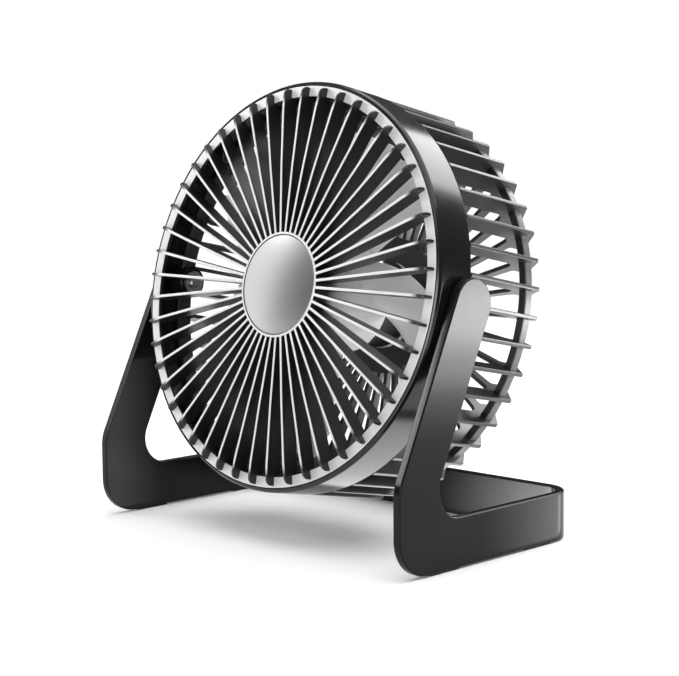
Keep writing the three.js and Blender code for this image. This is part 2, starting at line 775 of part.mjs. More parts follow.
function buildRearCover(head) {
  const buttonHole = BUTTON_RADIUS + 0.3;
  const ceiling = COVER_REAR + COVER_WALL;
  const shell = turned(
    [
      [buttonHole, COVER_REAR],
      [HUB_PLATE_RADIUS - 3, COVER_REAR],
      [HUB_PLATE_RADIUS - 0.8, COVER_REAR + 0.9],
      [HUB_PLATE_RADIUS, COVER_REAR + 3],
      [HUB_PLATE_RADIUS, COVER_FRONT],
      [HUB_PLATE_RADIUS - 1.6, COVER_FRONT],
      [HUB_PLATE_RADIUS - 2, ceiling],
      [buttonHole, ceiling],
      [buttonHole, COVER_REAR],
    ],
    MEDIUM_ROUND,
  );
  const atScrews = (radius, rear, front) =>
    COVER_SCREW_ANGLES.map((angle) => solid(placed(rod(radius, rear, front), COVER_SCREW_CIRCLE, angle)));
  const pillars = atScrews(3, ceiling - 0.5, BOARD_REAR - 0.15);
  const counterbores = atScrews(2.4, COVER_REAR - OVERSHOOT, COVER_REAR + 1.6);
  const holes = atScrews(1.3, COVER_REAR, COVER_FRONT + OVERSHOOT);
  const slotHalfWidth = PORT.width / 2 + 0.4;
  const portSlot = block(
    [-slotHalfWidth, -COVER_FRONT - OVERSHOOT, -HUB_PLATE_RADIUS - 2.7],
    [slotHalfWidth, -BOARD_REAR + PORT.height + 0.4, PORT.mouth + 3],
  );
  const whole = cut(join(solid(shell), ...pillars), ...counterbores, ...holes, solid(portSlot));
  addMesh(head, "rear_cover", whole, blackPlastic);

  const shape = screw(2.1, 1, 1.05, COVER_REAR + 1.3, HUB_PLATE_REAR + 0.8);
  COVER_SCREW_ANGLES.forEach((angle, k) => {
    addScrew(head, `cover_screw_${k + 1}`, shape, COVER_SCREW_CIRCLE, angle);
  });
}

// The button's flange holds it in the cover's hole; its face is slightly dished.
function buildButton(head) {
  const faceRear = COVER_REAR - 1;
  const flangeRear = COVER_REAR + COVER_WALL + 0.2;
  const flangeFront = flangeRear + 0.6;
  const flangeRadius = BUTTON_RADIUS + 1.2;
  const cap = turned(
    [
      [0, faceRear + 0.3],
      [3, faceRear + 0.15],
      [BUTTON_RADIUS - 0.8, faceRear],
      [BUTTON_RADIUS, faceRear + 0.7],
      [BUTTON_RADIUS, flangeRear],
      [flangeRadius, flangeRear],
      [flangeRadius, flangeFront],
      [0, flangeFront],
    ],
    SMALL_ROUND,
  );
  addMesh(head, "button_cap", solid(cap), silverPlastic);
  const plunger = rod(PLUNGER_RADIUS, flangeFront + 0.1, BOARD_REAR - 1);
  addMesh(head, "switch_plunger", solid(plunger), nylon);
}

// ---- Impeller and the parts that spin with it -----------------------------------------------------

// Middle of a blade: t runs from the root (0) to the tip (1), and s from the front edge (0) to the rear (1).
function bladePoint(t, s, rootRadius) {
  const radius = rootRadius + (BLADE_TIP - rootRadius) * t;
  const frontAngle = BLADE_ROOT_ANGLE + BLADE_SWEEP * (radius - IMPELLER_HUB);
  const angle = frontAngle - BLADE_WRAP * s;
  const roundTip = 1.6 * (2 * s - 1) ** 2 * Math.max(0, 4 * t - 3);
  const camber = 1.6 * Math.sin(Math.PI * s);
  const axial = BLADE_FRONT + (BLADE_REAR - BLADE_FRONT) * s - camber;
  const reach = radius - roundTip;
  return new THREE.Vector3(reach * Math.cos(angle), -axial, reach * Math.sin(angle));
}

function blade(rootRadius) {
  const along = 5;
  const across = 6;
  const small = 1e-3;
  const positions = [];
  for (const face of [1, -1]) {
    for (let i = 0; i <= along; i++) {
      for (let j = 0; j <= across; j++) {
        const t = i / along;
        const s = j / across;
        const point = bladePoint(t, s, rootRadius);
        const outwards = bladePoint(t + small, s, rootRadius).sub(point);
        const rearwards = bladePoint(t, s + small, rootRadius).sub(point);
        const normal = outwards.cross(rearwards).normalize();
        const edge = Math.sin(Math.PI * Math.min(Math.max(s, 0.12), 0.88));
        point.addScaledVector(normal, (face * BLADE_THICKNESS * edge) / 2);
        positions.push(point.x, point.y, point.z);
      }
    }
  }
  const row = across + 1;
  const second = (along + 1) * row;
  const indices = [];
  const quad = (a, b, c, d) => indices.push(a, b, c, a, c, d);
  for (let i = 0; i < along; i++) {
    for (let j = 0; j < across; j++) {
      const at = i * row + j;
      quad(at, at + row, at + row + 1, at + 1);
      quad(second + at, second + at + 1, second + at + row + 1, second + at + row);
    }
  }
  for (let i = 0; i < along; i++) {
    const front = i * row;
    const rear = front + across;
    quad(front, second + front, second + front + row, front + row);
    quad(rear, rear + row, second + rear + row, second + rear);
  }
  for (let j = 0; j < across; j++) {
    const tip = along * row + j;
    quad(j, j + 1, second + j + 1, second + j);
    quad(tip, second + tip, second + tip + 1, tip + 1);
  }
  const geometry = new THREE.BufferGeometry();
  geometry.setAttribute("position", new THREE.Float32BufferAttribute(positions, 3));
  geometry.setIndex(indices);
  return geometry;
}

function buildImpeller(head) {
  const skirtRear = BLADE_REAR - 0.5;
  const hub = turned(
    [
      [0, skirtRear],
      [IMPELLER_HUB, skirtRear],
      [IMPELLER_HUB, -2.5],
      [18.2, 1.2],
      [16.2, 4],
      [12.6, 5.8],
      [0, 6.2],
    ],
    MEDIUM_ROUND,
  );
  const bossRadius = 4.5;
  const bossRear = -5.2;
  const hollowRear = skirtRear - OVERSHOOT;
  const hollow = turned(
    [
      [0, hollowRear],
      [IMPELLER_HUB - 1.7, hollowRear],
      [IMPELLER_HUB - 1.7, -3.2],
      [14.5, 2.2],
      [11.5, 3.6],
      [bossRadius, 3.6],
      [bossRadius, bossRear],
      [0, bossRear],
    ],
    MEDIUM_ROUND,
  );
  const rootInsideHub = IMPELLER_HUB - 5;
  const blades = Array.from({ length: BLADES }, (_, k) =>
    solid(blade(rootInsideHub).rotateY(-(2 * Math.PI * k) / BLADES)),
  );
  const shaftFront = 2.2;
  const bore = solid(rod(SHAFT_BORE, bossRear - OVERSHOOT, shaftFront + 0.3));
  addMesh(head, "impeller", cut(join(solid(hub), ...blades), solid(hollow), bore), greyPlastic);

  addMesh(head, "motor_shaft", solid(rod(SHAFT_RADIUS, BELL_REAR - 1, shaftFront)), steel);
  const washer = tube(SHAFT_BORE, 2.8, bossRear - 1, bossRear - 0.2, FINE_ROUND);
  addMesh(head, "thrust_washer", solid(washer), nylon);
  const commutator = tube(SHAFT_BORE, COMMUTATOR.radius, COMMUTATOR.rear, COMMUTATOR.front);
  addMesh(head, "commutator", solid(commutator), copper);
  buildArmature(head);
}

// Three poles with wide shoes, each with its own winding.
function buildArmature(head) {
  const poleCount = 3;
  const neck = 2.5;
  const shoeRadius = 11.2;
  const shoeSpread = 50;
  const shoeSteps = 8;
  const halfStack = 8;
  const stackMiddle = -20;
  const outline = [];
  const windings = [];
  for (let k = 0; k < poleCount; k++) {
    const middle = (2 * Math.PI * k) / poleCount;
    const turn = (x, y) => new THREE.Vector2(x, y).rotateAround(new THREE.Vector2(), middle);
    const shoe = Array.from({ length: shoeSteps + 1 }, (_, j) => {
      const angle = THREE.MathUtils.degToRad(shoeSpread * ((2 * j) / shoeSteps - 1));
      return turn(shoeRadius * Math.cos(angle), shoeRadius * Math.sin(angle));
    });
    const oneSide = [turn(4.2, -neck), turn(8.9, -neck), turn(7, -6.8)];
    const otherSide = [turn(7, 6.8), turn(8.9, neck), turn(4.2, neck)];
    outline.push(...oneSide, ...shoe, ...otherSide);
    const coil = rectangle(4.4, halfStack + 1.6);
    const opening = rectangle(neck + 0.2, halfStack + 0.3);
    const winding = slab(coil, 2, [opening]).rotateY(Math.PI / 2).rotateX(Math.PI);
    windings.push(winding.translate(5.9, -stackMiddle, 0).rotateY(middle));
  }
  const stackHoles = [circle(SHAFT_BORE, FINE_ROUND)];
  const core = acrossAxis(outline, stackMiddle - halfStack, stackMiddle + halfStack, stackHoles);
  addMesh(head, "armature_core", solid(core), steel);
  windings.forEach((winding, k) => addMesh(head, `armature_winding_${k + 1}`, solid(winding), copper));
}

// ---- The whole fan ---------------------------------------------------------------------------------------

const fan = new THREE.Group();
const head = new THREE.Group();
head.position.set(0, PIVOT_Y, PIVOT_HEIGHT);
head.rotation.x = -HEAD_TILT;
fan.add(head);

buildStand(fan);
buildPivots(fan);
buildFrontRing(head);
buildFrontGrille(head);
buildRearGrille(head);
buildMotor(head);
buildControls(head);
buildRearCover(head);
buildButton(head);
buildImpeller(head);

export default fan;
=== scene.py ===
"""The looks of a desk fan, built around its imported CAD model.

The head's pieces are made in the fan's own frame, in millimetres: X to the right, Y backwards along the
fan's axis and Z upwards, with the line of the pivots through its origin. A place in the head is given as a
radius from the fan's axis, an axial distance that is positive forwards, and an angle from +X upwards.
"""
import json
import math

import bmesh
import bpy
from mathutils import Matrix, Vector


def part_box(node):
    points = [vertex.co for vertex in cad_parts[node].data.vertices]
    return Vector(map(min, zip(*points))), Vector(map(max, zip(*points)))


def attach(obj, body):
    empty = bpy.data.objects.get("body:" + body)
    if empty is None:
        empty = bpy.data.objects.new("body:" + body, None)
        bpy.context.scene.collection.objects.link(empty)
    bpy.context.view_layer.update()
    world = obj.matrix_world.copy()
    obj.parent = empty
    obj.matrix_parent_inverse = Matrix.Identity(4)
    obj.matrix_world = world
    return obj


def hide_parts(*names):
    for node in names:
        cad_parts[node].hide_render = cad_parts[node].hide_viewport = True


MM = 0.001
TAU = 2 * math.pi

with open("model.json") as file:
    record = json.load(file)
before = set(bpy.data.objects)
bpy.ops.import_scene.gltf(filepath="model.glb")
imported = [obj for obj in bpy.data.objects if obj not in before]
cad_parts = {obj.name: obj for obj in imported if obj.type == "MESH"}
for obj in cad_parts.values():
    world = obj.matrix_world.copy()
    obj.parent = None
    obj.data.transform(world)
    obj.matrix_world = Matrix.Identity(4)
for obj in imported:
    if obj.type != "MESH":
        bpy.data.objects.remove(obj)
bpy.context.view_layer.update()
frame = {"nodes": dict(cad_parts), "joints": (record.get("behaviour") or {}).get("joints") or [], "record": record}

JOINTS = {joint["name"]: joint for joint in frame["joints"]}
PIVOT = Vector(JOINTS["head_tilt"]["pos_m"])
BLOW = Vector(JOINTS["fan_spin"]["axis"])  # the way the fan blows
TILT = math.atan2(BLOW.z, -BLOW.y)
FAN = Matrix.Translation(PIVOT) @ Matrix.Rotation(-TILT, 4, "X")
ROW = Matrix.Identity(4)
X, Y, Z = range(3)


def extent(node, axis):
    """The lowest and highest millimetre of a CAD node along an axis of the row."""
    low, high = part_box(node)
    return low[axis] / MM, high[axis] / MM


# ---- Sizes, in millimetres ---------------------------------------------------------------------------

STAND_HALF_WIDTH = extent("stand_frame", X)[1]
STAND_FRONT, STAND_REAR = extent("stand_frame", Y)
STAND_BOTTOM, ARM_TOP = extent("stand_frame", Z)
PLATE = 3
BASE_TOP = 16.5
BEND_HEIGHT = 28.6
ARM_WIDTH = 16.5
STAND_CORNER = 12
FOOT_RADIUS, BEND_RADIUS, FILLET_RADIUS = 12.5, 14, 9.5

RING_RADIUS = extent("front_ring", X)[1]
RING_REAR, RING_FRONT = -2.3, 12.75
RING_INNER = 66.5
GRILLE_SEAT = 11.3
RIM_INNER, RIM_OUTER = 63.85, extent("front_grille", X)[1]
EAR_RADIUS, EAR_INNER = 5.5, 61
BOSS_RADIUS, BOSS_REAR, BOSS_FRONT = 3, 2.8, 9.4

SPOKES = 48
SPOKE_WIDTH = 1.0
FIRST_SPOKE = math.radians(-0.71)
SPOKE_ROOT, SPOKE_NOSE = 17.2, 66.8
HUB_RING_RADIUS, HUB_RING_REAR, HUB_RING_FRONT = 17.8, 8.4, 14.8
DISC_RADIUS = extent("hub_disc", X)[1]
DISC_REAR, DISC_EDGE_FRONT, DISC_DOME = 13.7, 14.55, 1.1
CLIPS = 6
CLIP_CIRCLE, CLIP_AXIAL = 65.65, 9.95
CLIP_SIZE = (1.1, 3.4, 6)

FINS = 45
FIN_WIDTH = 1.4
FIN_FRONT, FIN_REAR = -2.6, -37.3
TAB_INNER, TAB_REAR = 57.5, -45.8  # the tab behind each fin slopes to here
FIRST_FIN = math.radians(-0.9)
FRONT_RING_INNER, FRONT_RING_OUTER = 64.6, 66.2
REAR_RING_INNER, REAR_RING_OUTER = 63.6, 66.6
HUB_PLATE_RADIUS = 24.3
HUB_PLATE_FRONT, HUB_PLATE_REAR, HUB_WALL_REAR = -38.5, -40, -41.7

BLADES = 5
BLADE_TIP = 57
IMPELLER_HUB = 19
SHAFT_BORE, SHAFT_BOSS, SHAFT_BOSS_REAR, SHAFT_BOSS_FRONT = 1.1, 4.5, -5.2, 4.6
BLADE_FRONT, BLADE_REAR = 3, -19.5
BLADE_WRAP = math.radians(44)
BLADE_SWEEP = math.radians(-0.68)
BLADE_ROOT_ANGLE = math.radians(28)
BLADE_THICKNESS = 1.5
BLADE_CAMBER = 1.6
BLADE_TIP_DROP = 1.6  # how far the tip's front and rear corners are rounded off

CAN_RADIUS, CAN_WALL = 15.5, 1
CAN_FRONT, CAN_REAR = -8, -36.2
COLLAR_BORE, COLLAR_RADIUS = 3.15, 4.3
COVER_FRONT, COVER_REAR = -42, -46.6
COVER_SCREW_CIRCLE = 17
COVER_SCREW_ANGLES = [math.radians(a) for a in (90, 210, 330)]
SCREW_HEAD_RADIUS, SCREW_SHANK_RADIUS, SCREW_TIP = 2.1, 1.05, -39.2
BUTTON_RADIUS = 6
INLET_HALF_WIDTH, INLET_FRONT, INLET_REAR = 4.5, -42.05, -45.25
INLET_MOUTH, INLET_BACK = -24, -17  # heights: the cable comes from below
LUG_CIRCLE = 63.9
LUG_BORE, LUG_RADIUS, LUG_REAR, LUG_FRONT = 1.4, 2.3, 0.5, 2.5
QUARTERS = [math.radians(a) for a in (45, 135, 225, 315)]

# How finely round shapes are divided, and the turns, in degrees, that count as sharp.
FULL_ROUND = 192
MEDIUM_ROUND = 96
SMALL_ROUND = 40
BEVELLED_TURN = 30
SHADED_TURN = 35


# ---- Materials ---------------------------------------------------------------------------------------


class Nodes:
    """A material's node tree, with short calls for the nodes that several materials use."""

    def __init__(self, name, base, roughness, metallic=0.0, specular=0.5, coat=0.0, coat_roughness=0.05):
        self.material = bpy.data.materials.new(name)
        self.material.use_nodes = True
        self.tree = self.material.node_tree
        self.shader = self.tree.nodes["Principled BSDF"]
        self.set(self.shader, "Base Color", (*base, 1))
        self.set(self.shader, "Roughness", roughness)
        self.set(self.shader, "Metallic", metallic)
        self.set(self.shader, "Specular IOR Level", specular)
        self.set(self.shader, "Coat Weight", coat)
        self.set(self.shader, "Coat Roughness", coat_roughness)
        self.position = self.tree.nodes.new("ShaderNodeTexCoord").outputs["Object"]

    def set(self, node, socket, value):
        node.inputs[socket].default_value = value

    def link(self, output, node, socket):
        self.tree.links.new(output, node.inputs[socket])

    def scaled(self, stretch):
        """The position in the object, multiplied along X, Y and Z."""
        mapping = self.tree.nodes.new("ShaderNodeMapping")
        self.link(self.position, mapping, "Vector")
        self.set(mapping, "Scale", stretch)
        return mapping.outputs["Vector"]

    def noise(self, size, detail=3.0, stretch=(1, 1, 1)):
        """Noise whose grains are about this many millimetres across."""
        node = self.tree.nodes.new("ShaderNodeTexNoise")
        self.link(self.scaled(stretch), node, "Vector")
        self.set(node, "Scale", 1 / (size * MM))
        self.set(node, "Detail", detail)
        return node.outputs["Fac"]

    def range(self, value, low, high, from_low=0.3, from_high=0.7):
        """The value stretched from one range to another. Noise lies mostly between 0.3 and 0.7."""
        node = self.tree.nodes.new("ShaderNodeMapRange")
        self.link(value, node, "Value")
        self.set(node, "From Min", from_low)
        self.set(node, "From Max", from_high)
        self.set(node, "To Min", low)
        self.set(node, "To Max", high)
        return node.outputs["Result"]

    def mix(self, factor, first, second):
        """A blend of two colours, each an (r, g, b) or another node's output."""
        node = self.tree.nodes.new("ShaderNodeMix")
        node.data_type = "RGBA"
        self.link(factor, node, "Factor")
        for socket, colour in ((6, first), (7, second)):
            if isinstance(colour, tuple):
                node.inputs[socket].default_value = (*colour, 1)
            else:
                self.tree.links.new(colour, node.inputs[socket])
        return node.outputs[2]

    def math(self, operation, first, second=None):
        node = self.tree.nodes.new("ShaderNodeMath")
        node.operation = operation
        for socket, value in enumerate((first, second)):
            if isinstance(value, (int, float)):
                node.inputs[socket].default_value = value
            elif value is not None:
                self.tree.links.new(value, node.inputs[socket])
        return node.outputs[0]

    def radius(self):
        """The distance from the fan's axis, in metres."""
        split = self.tree.nodes.new("ShaderNodeSeparateXYZ")
        self.link(self.position, split, "Vector")
        across = self.math("POWER", split.outputs["X"], 2.0)
        upwards = self.math("POWER", split.outputs["Z"], 2.0)
        return self.math("SQRT", self.math("ADD", across, upwards))

    def color(self, output):
        self.link(output, self.shader, "Base Color")

    def roughness(self, output):
        self.link(output, self.shader, "Roughness")

    def bump(self, height, depth, strength=1.0):
        """Bumps of this depth in millimetres."""
        node = self.tree.nodes.new("ShaderNodeBump")
        self.link(height, node, "Height")
        self.set(node, "Distance", depth * MM)
        self.set(node, "Strength", strength)
        self.link(node.outputs["Normal"], self.shader, "Normal")


def moulded_plastic(name, base, roughness, spread=0.015, grain=0.12, depth=0.0015, coat=0.0, specular=0.5):
    """Moulded plastic: a fine spark-eroded grain, slow changes of gloss and faint clouding."""
    nodes = Nodes(name, base, roughness, specular=specular, coat=coat, coat_roughness=0.12)
    cloud = nodes.noise(14, 2.0)
    lighter = tuple(min(1, c * 1.08 + 0.001) for c in base)
    darker = tuple(c * 0.94 for c in base)
    nodes.color(nodes.mix(nodes.range(cloud, 0, 1), darker, lighter))
    fine = nodes.noise(grain, 2.0)
    slow = nodes.range(nodes.noise(9, 3.0), roughness - spread, roughness + spread)
    nodes.roughness(nodes.math("ADD", slow, nodes.range(fine, -0.008, 0.008)))
    nodes.bump(fine, depth)
    return nodes.material


def silver_and_highlight_paint(name, highlight_fade=None):
    """Silver paint with fine flakes. On the grille's front faces it is painted highlight, and on the button it is
    the cap's own silver. With a highlight fade, it gives way to bare plastic between those two radii: the painted
    highlight dies out towards the spokes' tips.
    """
    silver, shade, bare = (0.66, 0.663, 0.67), (0.61, 0.613, 0.62), (0.01, 0.01, 0.01)
    nodes = Nodes(name, silver, 0.34, metallic=0.25, coat=0.25, coat_roughness=0.15)
    flakes = nodes.noise(0.07, 1.0)
    paint = nodes.mix(nodes.range(flakes, 0, 1), shade, silver)
    if highlight_fade:
        # Painted shade: the silver gives way to bare plastic towards the spokes' tips, where their front edges
        # stop catching the highlight.
        edge = nodes.math("ADD", nodes.radius(), nodes.range(nodes.noise(1.5), -0.0002, 0.0002))
        thin = nodes.range(edge, 0, 1, highlight_fade[0] * MM, highlight_fade[1] * MM)
        paint = nodes.mix(thin, paint, bare)
        nodes.link(nodes.range(thin, 0.25, 0.0, 0, 1), nodes.shader, "Metallic")
    nodes.color(paint)
    nodes.roughness(nodes.range(nodes.noise(5), 0.3, 0.4))
    nodes.bump(flakes, 0.002)
    return nodes.material


def brushed_aluminium(name):
    """Anodised aluminium with very fine upright brush lines."""
    nodes = Nodes(name, (0.4, 0.402, 0.407), 0.36, metallic=1.0)
    lines = nodes.noise(0.12, 2.0, (1, 1, 0.02))
    nodes.color(nodes.mix(nodes.range(lines, 0, 1), (0.39, 0.392, 0.397), (0.41, 0.412, 0.417)))
    nodes.roughness(nodes.range(nodes.noise(0.3, 3.0, (1, 1, 0.05)), 0.29, 0.33))
    nodes.bump(lines, 0.0005, 0.3)
    return nodes.material


def metal(name, base, roughness, stretch=(1, 1, 1)):
    """Plain machined or drawn metal with fine scratches along one direction."""
    nodes = Nodes(name, base, roughness, metallic=1.0)
    scratches = nodes.noise(0.25, 3.0, stretch)
    darker = tuple(c * 0.82 for c in base)
    nodes.color(nodes.mix(nodes.range(scratches, 0, 1), darker, base))
    nodes.roughness(nodes.range(nodes.noise(2.5), roughness - 0.07, roughness + 0.08))
    nodes.bump(scratches, 0.003)
    return nodes.material


def enamelled_wire(name):
    """Wound copper wire: rows of round turns, each a little lighter or darker."""
    turn_width = 0.25 * MM
    nodes = Nodes(name, (0.5, 0.2, 0.08), 0.32, metallic=0.9, coat=0.6)
    wave = nodes.tree.nodes.new("ShaderNodeTexWave")
    nodes.link(nodes.position, wave, "Vector")
    nodes.set(wave, "Scale", 1 / turn_width / TAU)
    nodes.set(wave, "Distortion", 0.6)
    turns = wave.outputs["Fac"]
    nodes.color(nodes.mix(turns, (0.36, 0.13, 0.05), (0.66, 0.29, 0.12)))
    nodes.roughness(nodes.range(nodes.noise(1.2), 0.26, 0.4))
    nodes.bump(turns, 0.06)
    return nodes.material


def circuit_board(name):
    """Green solder mask over straight copper tracks."""
    track_spacing = 6 * MM
    nodes = Nodes(name, (0.02, 0.14, 0.06), 0.35, coat=0.3)
    tracks = nodes.tree.nodes.new("ShaderNodeTexBrick")
    nodes.link(nodes.position, tracks, "Vector")
    nodes.set(tracks, "Scale", 1 / track_spacing)
    nodes.set(tracks, "Mortar Size", 0.04)
    lines = tracks.outputs["Fac"]
    nodes.color(nodes.mix(lines, (0.015, 0.11, 0.045), (0.05, 0.24, 0.1)))
    nodes.roughness(nodes.range(nodes.noise(1.0), 0.3, 0.42))
    nodes.bump(lines, 0.03)
    return nodes.material


def black_rubber(name):
    """Matt black rubber with fine pores."""
    nodes = Nodes(name, (0.018, 0.018, 0.018), 0.75, specular=0.3)
    pores = nodes.noise(0.35, 4.0)
    nodes.color(nodes.mix(nodes.range(pores, 0, 1), (0.012, 0.012, 0.012), (0.03, 0.03, 0.03)))
    nodes.roughness(nodes.range(pores, 0.68, 0.85))
    nodes.bump(pores, 0.02)
    return nodes.material


MATERIALS = {
    "stand_plastic": moulded_plastic("stand_plastic", (0.005, 0.005, 0.005), 0.17, specular=0.15),
    "casing_plastic": moulded_plastic("casing_plastic", (0.007, 0.007, 0.007), 0.16, specular=0.45),
    "grille_plastic": moulded_plastic("grille_plastic", (0.01, 0.01, 0.01), 0.3, specular=0.4),
    "cage_plastic": moulded_plastic("cage_plastic", (0.018, 0.018, 0.0185), 0.33),
    # A lighter plastic for the fins' outer edges: a painted highlight.
    "cage_edge_highlight": moulded_plastic("cage_edge_highlight", (0.07, 0.07, 0.072), 0.3),
    "cage_band": moulded_plastic("cage_band", (0.13, 0.13, 0.132), 0.34),
    # The silver on the grille's front faces is painted highlight: black plastic that shines where it faces the
    # front softbox.
    "edge_highlight_silver": silver_and_highlight_paint("edge_highlight_silver", highlight_fade=(61.0, 63.6)),
    "silver_and_painted_highlight": silver_and_highlight_paint("silver_and_painted_highlight"),
    "disc_aluminium": brushed_aluminium("disc_aluminium"),
    "blade_plastic": moulded_plastic("blade_plastic", (0.78, 0.785, 0.79), 0.2, coat=0.4),
    "steel": metal("steel", (0.5, 0.51, 0.53), 0.34),
    "can_steel": metal("can_steel", (0.09, 0.09, 0.095), 0.36, (1, 0.05, 1)),
    "brass": metal("brass", (0.6, 0.42, 0.18), 0.36),
    "copper": enamelled_wire("copper"),
    "ferrite": moulded_plastic("ferrite", (0.05, 0.05, 0.055), 0.7, 0.08, 0.2, 0.01),
    "nylon": moulded_plastic("nylon", (0.72, 0.69, 0.61), 0.42),
    "component_black": moulded_plastic("component_black", (0.03, 0.03, 0.032), 0.5),
    "lead_red": moulded_plastic("lead_red", (0.42, 0.025, 0.025), 0.4),
    "board": circuit_board("board"),
    "capacitor_can": metal("capacitor_can", (0.42, 0.43, 0.46), 0.3, (0.1, 1, 1)),
    "rubber": black_rubber("rubber"),
}


# ---- Mesh building -----------------------------------------------------------------------------------


def rounded(corners, steps):
    """Points of a closed outline through corners (x, y, radius), each rounded by an arc of that radius."""
    points = []
    for index, (x, y, *rest) in enumerate(corners):
        corner = Vector((x, y))
        radius = rest[0] if rest else 0
        if not radius:
            points.append(corner)
            continue
        before = (Vector(corners[index - 1][:2]) - corner).normalized()
        after = (Vector(corners[(index + 1) % len(corners)][:2]) - corner).normalized()
        half = before.angle(after) / 2
        centre = corner + (before + after).normalized() * (radius / math.sin(half))
        start = corner + before * (radius / math.tan(half))
        turn = (2 * half - math.pi) * math.copysign(1, before.x * after.y - before.y * after.x)
        for k in range(steps + 1):
            points.append(centre + Matrix.Rotation(turn * k / steps, 2) @ (start - centre))
    return points


def rectangle(left, right, bottom, top, radius):
    """The corners of a rectangle, each with the radius it is rounded by."""
    return [(left, bottom, radius), (right, bottom, radius), (right, top, radius), (left, top, radius)]


def join(bm, first, second):
    """Faces between two rings of as many points, or between a ring and a single point."""
    count = max(len(first), len(second))
    for k in range(count):
        after = (k + 1) % count
        if len(first) == 1:
            bm.faces.new((first[0], second[k], second[after]))
        elif len(second) == 1:
            bm.faces.new((first[k], second[0], first[after]))
        else:
            bm.faces.new((first[k], second[k], second[after], first[after]))


def lathe(bm, profile, segments=FULL_ROUND, matrix=ROW):
    """Turns a profile of (radius, axial) points. It closes on itself, or starts and ends on the axis."""
    rings = []
    for radius, axial in profile:
        if abs(radius) < 1e-6:
            rings.append([bm.verts.new(matrix @ Vector((0, -axial, 0)))])
            continue
        angles = [TAU * k / segments for k in range(segments)]
        ring = [Vector((radius * math.cos(t), -axial, radius * math.sin(t))) for t in angles]
        rings.append([bm.verts.new(matrix @ place) for place in ring])
    pairs = list(zip(rings, rings[1:]))
    if len(rings[0]) > 1:
        pairs.append((rings[-1], rings[0]))
    for first, second in pairs:
        join(bm, first, second)


def rounded_ring(bm, inner, outer, rear, front, radius, segments=FULL_ROUND, steps=3, matrix=ROW):
    """A ring with four rounded edges."""
    corners = rectangle(inner, outer, rear, front, radius)
    lathe(bm, rounded(corners, steps), segments, matrix)


def rounded_rod(bm, radius, rear, front, edge, segments, matrix):
    """A round rod on the fan's axis with rounded edges at both ends."""
    steps = [math.pi / 2 * k / 3 for k in range(4)]
    lower = [(radius - edge + edge * math.sin(t), rear + edge - edge * math.cos(t)) for t in steps]
    upper = [(radius - edge + edge * math.cos(t), front - edge + edge * math.sin(t)) for t in steps]
    lathe(bm, [(0, rear), *lower, *upper, (0, front)], segments, matrix)


def bevel(bm, edges, width, segments):
    """Rounds edges over this width, in this many facets."""
    bmesh.ops.bevel(
        bm, geom=edges, offset=width, segments=segments, profile=0.5, affect="EDGES", clamp_overlap=True
    )


def bevel_sharp(bm, width, segments=2):
    """Rounds every sharp edge."""
    turn = math.radians(BEVELLED_TURN)
    bevel(bm, [e for e in bm.edges if e.is_manifold and e.calc_face_angle() > turn], width, segments)


def plate_template(outline, width, edge):
    """A thin plate in a plane through the fan's axis, from its outline of (radius, axial)."""
    bm = bmesh.new()
    lower = [bm.verts.new((p.x, -p.y, -width / 2)) for p in outline]
    face = bm.faces.new(lower)
    raised = bmesh.ops.extrude_face_region(bm, geom=[face])
    moved = [v for v in raised["geom"] if isinstance(v, bmesh.types.BMVert)]
    bmesh.ops.translate(bm, vec=(0, 0, width), verts=moved)
    bmesh.ops.recalc_face_normals(bm, faces=bm.faces)
    level = [e for e in bm.edges if abs(e.verts[0].co.z - e.verts[1].co.z) < 1e-6]
    bevel(bm, [e for e in level if e.calc_face_angle() > 1], edge, 2)
    mesh = bpy.data.meshes.new("template")
    bm.to_mesh(mesh)
    bm.free()
    return mesh


def add_copy(bm, template, matrix):
    """Adds a copy of a mesh to bm, moved by the matrix."""
    known = len(bm.verts)
    bm.from_mesh(template)
    bm.verts.ensure_lookup_table()
    bmesh.ops.transform(bm, matrix=matrix, verts=bm.verts[known:])


def around(angle, radius=0.0):
    """Turns a piece round the fan's axis by this angle, after moving it out by the radius."""
    return Matrix.Rotation(-angle, 4, "Y") @ Matrix.Translation((radius, 0, 0))


def make_piece(name, bm, body, replaced, materials, place=FAN, paint=None):
    """Makes bm, in millimetres, into a shown piece. paint(face) gives the index of a face's material."""
    bmesh.ops.recalc_face_normals(bm, faces=bm.faces)
    for face in bm.faces:
        face.smooth = True
        if paint:
            face.material_index = paint(face)
    bmesh.ops.scale(bm, vec=(MM, MM, MM), verts=bm.verts)
    mesh = bpy.data.meshes.new(name)
    bm.to_mesh(mesh)
    bm.free()
    mesh.set_sharp_from_angle(angle=math.radians(SHADED_TURN))
    for material in materials:
        mesh.materials.append(MATERIALS[material])
    obj = bpy.data.objects.new(name, mesh)
    bpy.context.scene.collection.objects.link(obj)
    obj.matrix_world = place
    shading = obj.modifiers.new("even_flats", "WEIGHTED_NORMAL")
    shading.keep_sharp = True
    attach(obj, body)
    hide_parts(*replaced)
    return obj


# ---- Stand -------------------------------------------------------------------------------------------


def arm_outline():
    """One side plate seen from the side, as (y, z), up to the start of the corner at its rear."""
    end = ARM_WIDTH / 2
    centre = Vector((PIVOT.y / MM, ARM_TOP - end))
    to_end = centre - Vector((STAND_FRONT, BEND_HEIGHT))
    lean = math.atan2(to_end.y, to_end.x) + math.asin(end / to_end.length)
    along = Vector((math.cos(lean), math.sin(lean)))
    across = Vector((along.y, -along.x))
    tip = centre + along * end
    front_tip = tip - across * end
    rear_tip = tip + across * end
    footing = rear_tip + along * ((BASE_TOP - rear_tip.y) / along.y)
    seam = STAND_REAR - STAND_CORNER
    return rounded(
        [
            (STAND_FRONT, STAND_BOTTOM, FOOT_RADIUS),
            (STAND_FRONT, BEND_HEIGHT, BEND_RADIUS),
            (*front_tip, end * 0.998),
            (*rear_tip, end * 0.998),
            (footing.x, BASE_TOP, FILLET_RADIUS),
            (seam, BASE_TOP),
            (seam, STAND_BOTTOM),
        ],
        14,
    )


